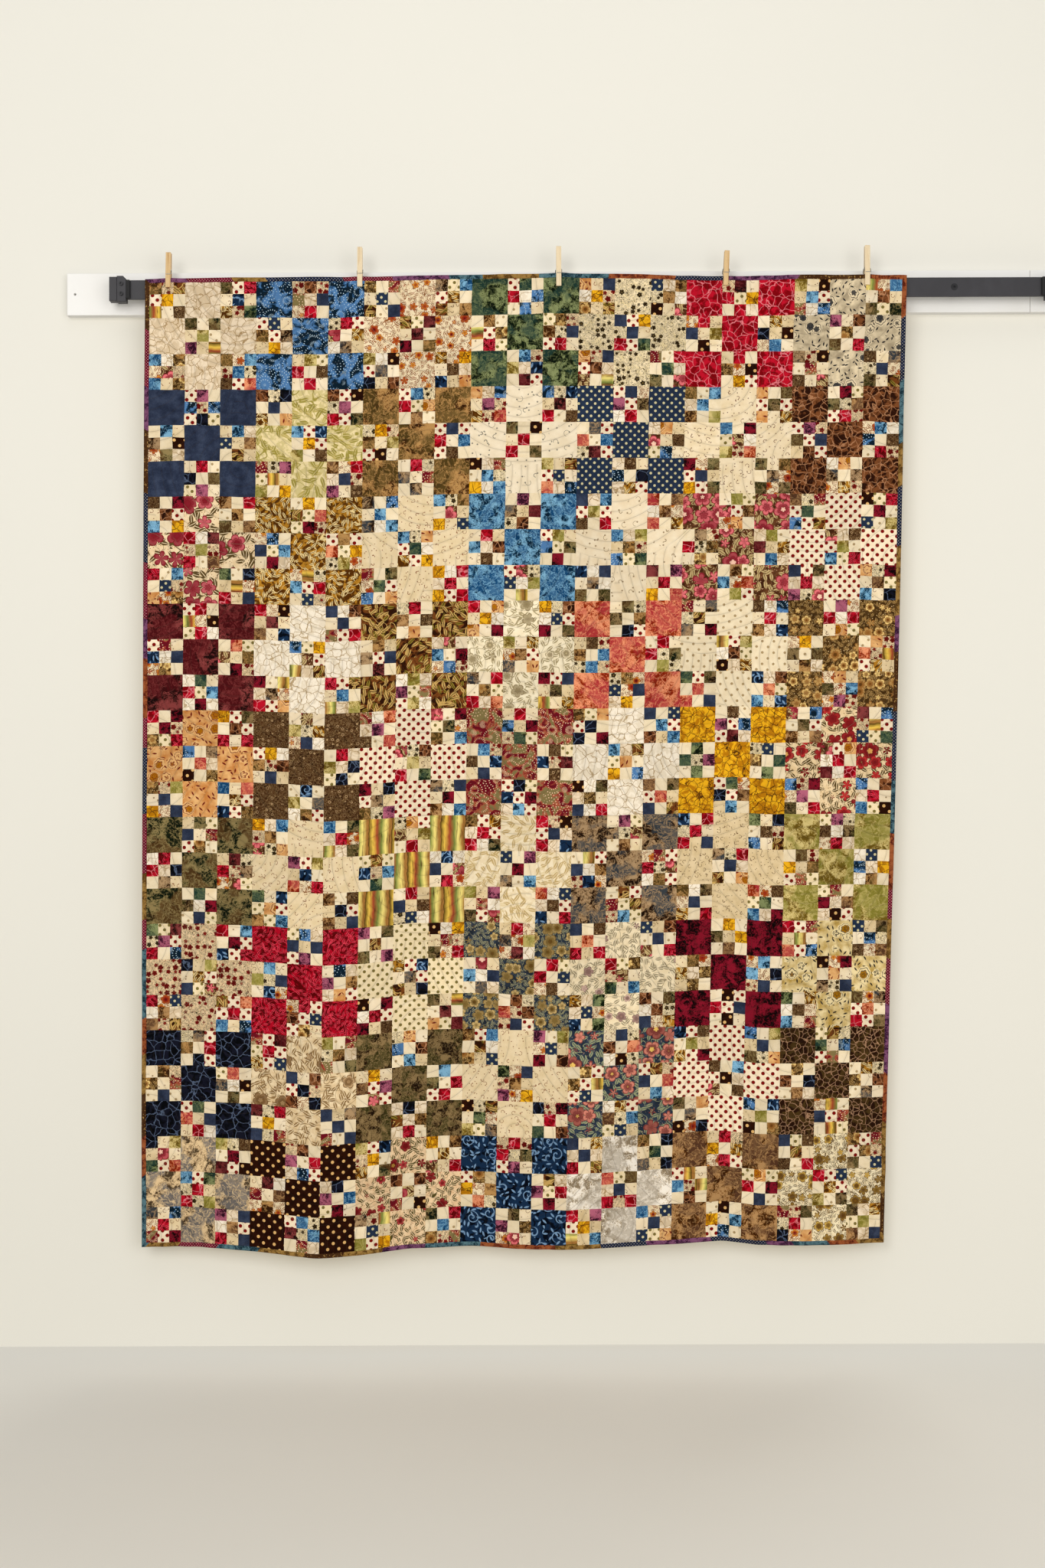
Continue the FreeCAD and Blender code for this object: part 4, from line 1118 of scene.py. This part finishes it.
def side_places(inset, side, share):
    """Metres across and down the quilt along one side, on the rectangle set in from the edge."""
    left, top = inset, inset
    right, bottom = QUILT_WIDTH - inset, QUILT_LENGTH - inset
    corners = ((left, top), (left, bottom), (right, bottom), (right, top))
    start, end = corners[side], corners[(side + 1) % 4]
    return start[0] + (end[0] - start[0]) * share, start[1] + (end[1] - start[1]) * share


BINDING_PRINTS = {
    "ruby_dotted_edge": print_of(dots, "#84203c", "#64122c", "#d8a8a0", spacing=0.006, radius=0.0008),
    "navy_dotted_edge": print_of(dots, "#2c3450", "#1e2438", "#b8b4a8", spacing=0.0065, radius=0.0008),
    "teal_edge": print_of(batik, "#1c3440", "#2e4e5c", "#64848c", size=0.014),
    "rust_edge": print_of(batik, "#5c2216", "#84381f", "#a8643c", size=0.014),
    "brown_edge": print_of(sprigs, "#5a3d24", "#492c14", "#c09a5c", size=0.008),
    "plum_edge": print_of(batik, "#3a1c38", "#5c2c50", "#8c5c7c", size=0.014),
    "umber_edge": print_of(batik, "#5c401c", "#7c5a2a", "#a8864c", size=0.014),
}
binding_cottons = [cotton(name, kind, DEEP_THREAD, 0.0) for name, kind in BINDING_PRINTS.items()]
edge_across, edge_down, scrap = [], [], []
current, remaining = 0, 0.0
section = strip_section()
for side in range(4):
    length = QUILT_LENGTH if side % 2 == 0 else QUILT_WIDTH
    count = round(length / BINDING_STEP)
    for number in range(count):
        share = number / count
        pairs = [side_places(inset, side, share) for inset, _ in section]
        edge_across.append([pair[0] for pair in pairs])
        edge_down.append([pair[1] for pair in pairs])
        if remaining <= 0:
            current = random.choice([n for n in range(len(binding_cottons)) if n != current])
            remaining = random.uniform(SCRAP_SHORTEST, SCRAP_LONGEST)
        remaining -= length / count
        scrap.append(current)
edge_across, edge_down = np.array(edge_across), np.array(edge_down)
heights = np.array([height for _, height in section])[None, :] * np.ones_like(edge_across)
ring = on_quilt(edge_across, edge_down, heights)
rounds, widths = edge_across.shape
index = np.arange(rounds * widths).reshape(rounds, widths)
following = np.roll(index, -1, axis=0)
quads = np.stack([index[:, :-1], following[:, :-1], following[:, 1:], index[:, 1:]], axis=-1)
mesh = bpy.data.meshes.new("quilt_edge_binding")
mesh.from_pydata(ring.reshape(-1, 3).tolist(), [], quads.reshape(-1, 4).tolist())
binding = bpy.data.objects.new("quilt_edge_binding", mesh)
bpy.context.collection.objects.link(binding)
for material in binding_cottons:
    mesh.materials.append(material)
mesh.polygons.foreach_set("material_index", np.repeat(scrap, widths - 1))
corner = corner_points(mesh)
add_map(mesh, "quilting", edge_across.ravel()[corner], edge_down.ravel()[corner])
add_map(mesh, "cloth", edge_across.ravel()[corner] + heights.ravel()[corner], edge_down.ravel()[corner])
finish_cloth(binding)
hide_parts("quilt_binding", "hem_binding")
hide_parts("quilt_top", "hem_top")
print("binding faces:", len(mesh.polygons))

# %% [markdown]
# ## The clothespins
#
# Each pin is two levers of turned-over beech or birch and one coiled spring.  The design already holds
# every notch of the levers, so each lever is a copy of its solid with its edges broken by a small bevel,
# as the tumbling at the mill leaves them.  The grain runs up the pin, so the wood is a noise that is
# stretched up and down.

# %% Wood that is pale or honey coloured
def wood(name, early, late, dark):
    recipe = Recipe(name, roughness=0.62, specular=0.35)
    place = recipe.node("TexCoord").outputs["Object"]
    stretched = recipe.vector("MULTIPLY", place, (1.0, 1.0, 0.05))
    grain = recipe.noise(stretched, 900.0, 4.0, 0.4)
    bands = recipe.noise(stretched, 210.0, 2.0, 0.8)
    colour = recipe.three_tones(bands, late, early, early, 0.2)
    flecks = recipe.noise(recipe.vector("MULTIPLY", place, (1.0, 1.0, 0.12)), 2600.0, 2.0)
    colour = recipe.mix(recipe.math("MULTIPLY", recipe.ramp(grain, 0.5, 0.75), 0.5), colour, late)
    colour = recipe.mix(recipe.math("MULTIPLY", recipe.ramp(flecks, 0.62, 0.72), 0.5), colour, dark)
    recipe.feed(recipe.shader.inputs["Base Color"], colour)
    height = recipe.math("SUBTRACT", recipe.math("MULTIPLY", grain, 0.4),
                         recipe.math("MULTIPLY", flecks, 0.3))
    bump = recipe.node("Bump", Strength=0.5, Distance=0.0003, Height=height)
    recipe.feed(recipe.shader.inputs["Normal"], bump.outputs[0])
    return recipe.material


pale_wood = wood("pale_birch", "#ead6b2", "#d8bd92", "#a07c52")
honey_wood = wood("honey_birch", "#dcbb88", "#c0955c", "#8a5f34")
HONEY_PINS = (1, 4)
EASED_EDGE = 0.35 * MM


def eased_copy(node_name, new_name, ease):
    """A merged copy of a CAD solid with its edges broken."""
    source = bpy.data.objects[node_name]
    mesh = source.data.copy()
    copy = bpy.data.objects.new(new_name, mesh)
    bpy.context.collection.objects.link(copy)
    mesh.materials.clear()
    select_only(copy)
    bpy.ops.object.mode_set(mode="EDIT")
    bpy.ops.mesh.select_all(action="SELECT")
    bpy.ops.mesh.remove_doubles(threshold=1e-5)
    bpy.ops.mesh.dissolve_limited(angle_limit=math.radians(2))
    bpy.ops.mesh.customdata_custom_splitnormals_clear()
    bpy.ops.object.mode_set(mode="OBJECT")
    bevel = copy.modifiers.new("eased", "BEVEL")
    bevel.width = ease
    bevel.segments = 2
    bevel.limit_method = "ANGLE"
    bevel.angle_limit = math.radians(35)
    bevel.use_clamp_overlap = True
    bpy.ops.object.modifier_apply(modifier="eased")
    bpy.ops.object.shade_smooth_by_angle(angle=math.radians(30))
    return copy


for number in range(1, PIN_COUNT + 1):
    for side, body in (("front", f"pin_{number}_front"), ("rear", f"pin_{number}")):
        node = f"pin_{number}_{side}_lever"
        lever = eased_copy(node, f"pin_{number}_{side}_wood", EASED_EDGE)
        lever.data.materials.append(honey_wood if number in HONEY_PINS else pale_wood)
        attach(lever, body)
        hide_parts(node)
print("levers:", 2 * PIN_COUNT)

# %% [markdown]
# ## Metal, rubber and paint
#
# The rail is flat steel with a fine black powder coat, its bolts are blackened, and the end stops carry
# rubber bumpers.  The boards behind are painted wood, where the brush leaves faint long ridges.  These
# parts keep the design's own meshes, and only their finishes are made.

# %% Powder coat, blackened steel, rubber and spring wire
def coated(name, colour, worn, roughness, grain_scale, depth, metallic=0.0):
    recipe = Recipe(name, roughness=roughness, metallic=metallic, specular=0.4)
    place = recipe.node("TexCoord").outputs["Object"]
    speckle = recipe.noise(place, grain_scale, 2.0)
    cloud = recipe.noise(place, 14.0, 4.0, 0.5)
    tone = recipe.mix(recipe.math("MULTIPLY", recipe.ramp(cloud, 0.45, 0.7), 0.5), colour, worn)
    tone = recipe.mix(recipe.math("MULTIPLY", recipe.ramp(speckle, 0.6, 0.75), 0.35), tone, worn)
    recipe.feed(recipe.shader.inputs["Base Color"], tone)
    rough = recipe.math("ADD", recipe.math("MULTIPLY", cloud, 0.16), roughness - 0.08)
    recipe.feed(recipe.shader.inputs["Roughness"], rough)
    bump = recipe.node("Bump", Strength=0.4, Distance=depth, Height=speckle)
    recipe.feed(recipe.shader.inputs["Normal"], bump.outputs[0])
    return recipe.material


def painted():
    """Satin white paint with brush ridges that run along the board."""
    recipe = Recipe("painted_board", roughness=0.42, specular=0.45)
    place = recipe.node("TexCoord").outputs["Object"]
    ridges = recipe.noise(recipe.vector("MULTIPLY", place, (0.04, 1.0, 1.0)), 520.0, 3.0)
    cloud = recipe.noise(place, 5.0, 4.0)
    colour = recipe.mix(recipe.ramp(cloud, 0.35, 0.7), "#f5f4f1", "#efede8")
    recipe.feed(recipe.shader.inputs["Base Color"], colour)
    height = recipe.math("ADD", recipe.math("MULTIPLY", ridges, 0.6), recipe.math("MULTIPLY", cloud, 0.4))
    bump = recipe.node("Bump", Strength=0.35, Distance=0.0003, Height=height)
    recipe.feed(recipe.shader.inputs["Normal"], bump.outputs[0])
    return recipe.material


FINISHES = {
    "white_painted_wood": painted(),
    "black_steel": coated("powder_coated_steel", "#2f2e32", "#3e3d42", 0.5, 1500.0, 0.00012),
    "black_fastener": coated("blackened_bolt", "#232325", "#3f3f42", 0.42, 2200.0, 0.00008, metallic=0.6),
    "stop_rubber": coated("bumper_rubber", "#1a1a1b", "#2a2a2a", 0.75, 1800.0, 0.0001),
    "spring_wire": coated("drawn_spring_wire", "#a9a59c", "#7d786e", 0.34, 2600.0, 0.00005, metallic=1.0),
}
print("hardware finishes:", len(FINISHES))


# %% Give the design's own parts their finishes
def finish_nodes():
    given = 0
    for item in bpy.context.scene.objects:
        if item.type != "MESH" or item.name not in frame["nodes"]:
            continue
        for slot in item.material_slots:
            name = slot.material.name.split(".")[0] if slot.material else ""
            if name in FINISHES:
                slot.material = FINISHES[name]
                given += 1
    return given


print("slots finished:", finish_nodes())

# %% [markdown]
# ## The room, the light and the camera
#
# The quilt hangs on a pale wall over a pale floor.  The wall is only a backdrop, so it lets the back of
# the quilt be seen from behind.  Light in the room is soft and comes from all round, a little stronger
# from the upper left, which leaves a narrow soft shadow below the quilt and on its right.

# %% Wall and floor
FLOOR_HEIGHT = -2.235
WALL_FACE = 0.0015
STAGE_SIZE = 9


def stage_plane(name, place, turn, colour):
    """A large painted plane for the room, with a faint cloud in its paint."""
    clear_selection()
    bpy.ops.mesh.primitive_plane_add(size=STAGE_SIZE, location=place, rotation=turn)
    plane = bpy.context.object
    plane.name = name
    bpy.ops.object.transform_apply(location=True, rotation=True, scale=True)
    recipe = Recipe(name + "_paint", roughness=0.9, specular=0.2)
    place_node = recipe.node("TexCoord").outputs["Object"]
    cloud = recipe.noise(place_node, 1.2, 3.0)
    recipe.feed(recipe.shader.inputs["Base Color"], recipe.mix(cloud, colour, "#efece2"))
    plane.data.materials.append(recipe.material)
    return plane, recipe


stage_plane("pale_floor", (0, 0, FLOOR_HEIGHT), (0, 0, 0), "#e9e4d8")
wall, wall_recipe = stage_plane("pale_wall", (0, WALL_FACE, 0), (math.radians(90), 0, 0), "#ebe9df")
see_through = wall_recipe.node("BsdfTransparent")
behind = wall_recipe.node("NewGeometry").outputs["Backfacing"]
either = wall_recipe.node("MixShader", i0=behind, i1=wall_recipe.shader.outputs[0], i2=see_through.outputs[0])
wall_recipe.feed(wall_recipe.tree.nodes["Material Output"].inputs[0], either.outputs[0])
wall.visible_shadow = False
wall.visible_diffuse = False
wall.visible_glossy = False
print("floor at", FLOOR_HEIGHT)

# %% Soft lights
def soft_light(name, place, aim, size, watts, tint=(1, 0.97, 0.92)):
    data = bpy.data.lights.new(name, "AREA")
    data.energy = watts
    data.size = size
    data.color = tint
    lamp = bpy.data.objects.new(name, data)
    lamp.location = place
    lamp.rotation_euler = (Vector(aim) - Vector(place)).to_track_quat("-Z", "Y").to_euler()
    bpy.context.collection.objects.link(lamp)


quilt_middle = (0, 0, -1)
soft_light("window_light", (-1.5, -4.7, 0.5), quilt_middle, 2.4, 80, (1, 0.975, 0.945))
soft_light("room_light", (2.0, -4.6, -0.5), quilt_middle, 2.8, 53, (1, 0.98, 0.96))
soft_light("ceiling_light", (0, -2.6, 2.6), (0, -0.2, -1.2), 2.6, 14)
soft_light("back_light", (1.5, 3.5, 1.5), quilt_middle, 3.0, 60)
ROOM_BRIGHTNESS = 0.485
world = bpy.data.worlds.new("room")
bpy.context.scene.world = world
world.use_nodes = True
world.node_tree.nodes["Background"].inputs[0].default_value = (0.98, 0.985, 0.98, 1)
world.node_tree.nodes["Background"].inputs[1].default_value = ROOM_BRIGHTNESS
bpy.context.scene.view_settings.view_transform = "Standard"

# %% Camera
CAMERA_DISTANCE = 3.9
CAMERA_SIDE = -0.0587
CAMERA_HEIGHT = -1.0405
CAMERA_TILT = math.radians(0.2)
lens = bpy.data.cameras.new("view")
lens.lens = 64
lens.sensor_fit = "HORIZONTAL"
lens.sensor_width = 36
camera = bpy.data.objects.new("view", lens)
camera.location = (CAMERA_SIDE, rail_low.y - CAMERA_DISTANCE, CAMERA_HEIGHT)
camera.rotation_euler = (math.radians(90), CAMERA_TILT, 0)
bpy.context.collection.objects.link(camera)
bpy.context.scene.camera = camera
print("camera at", [round(part, 3) for part in camera.location])
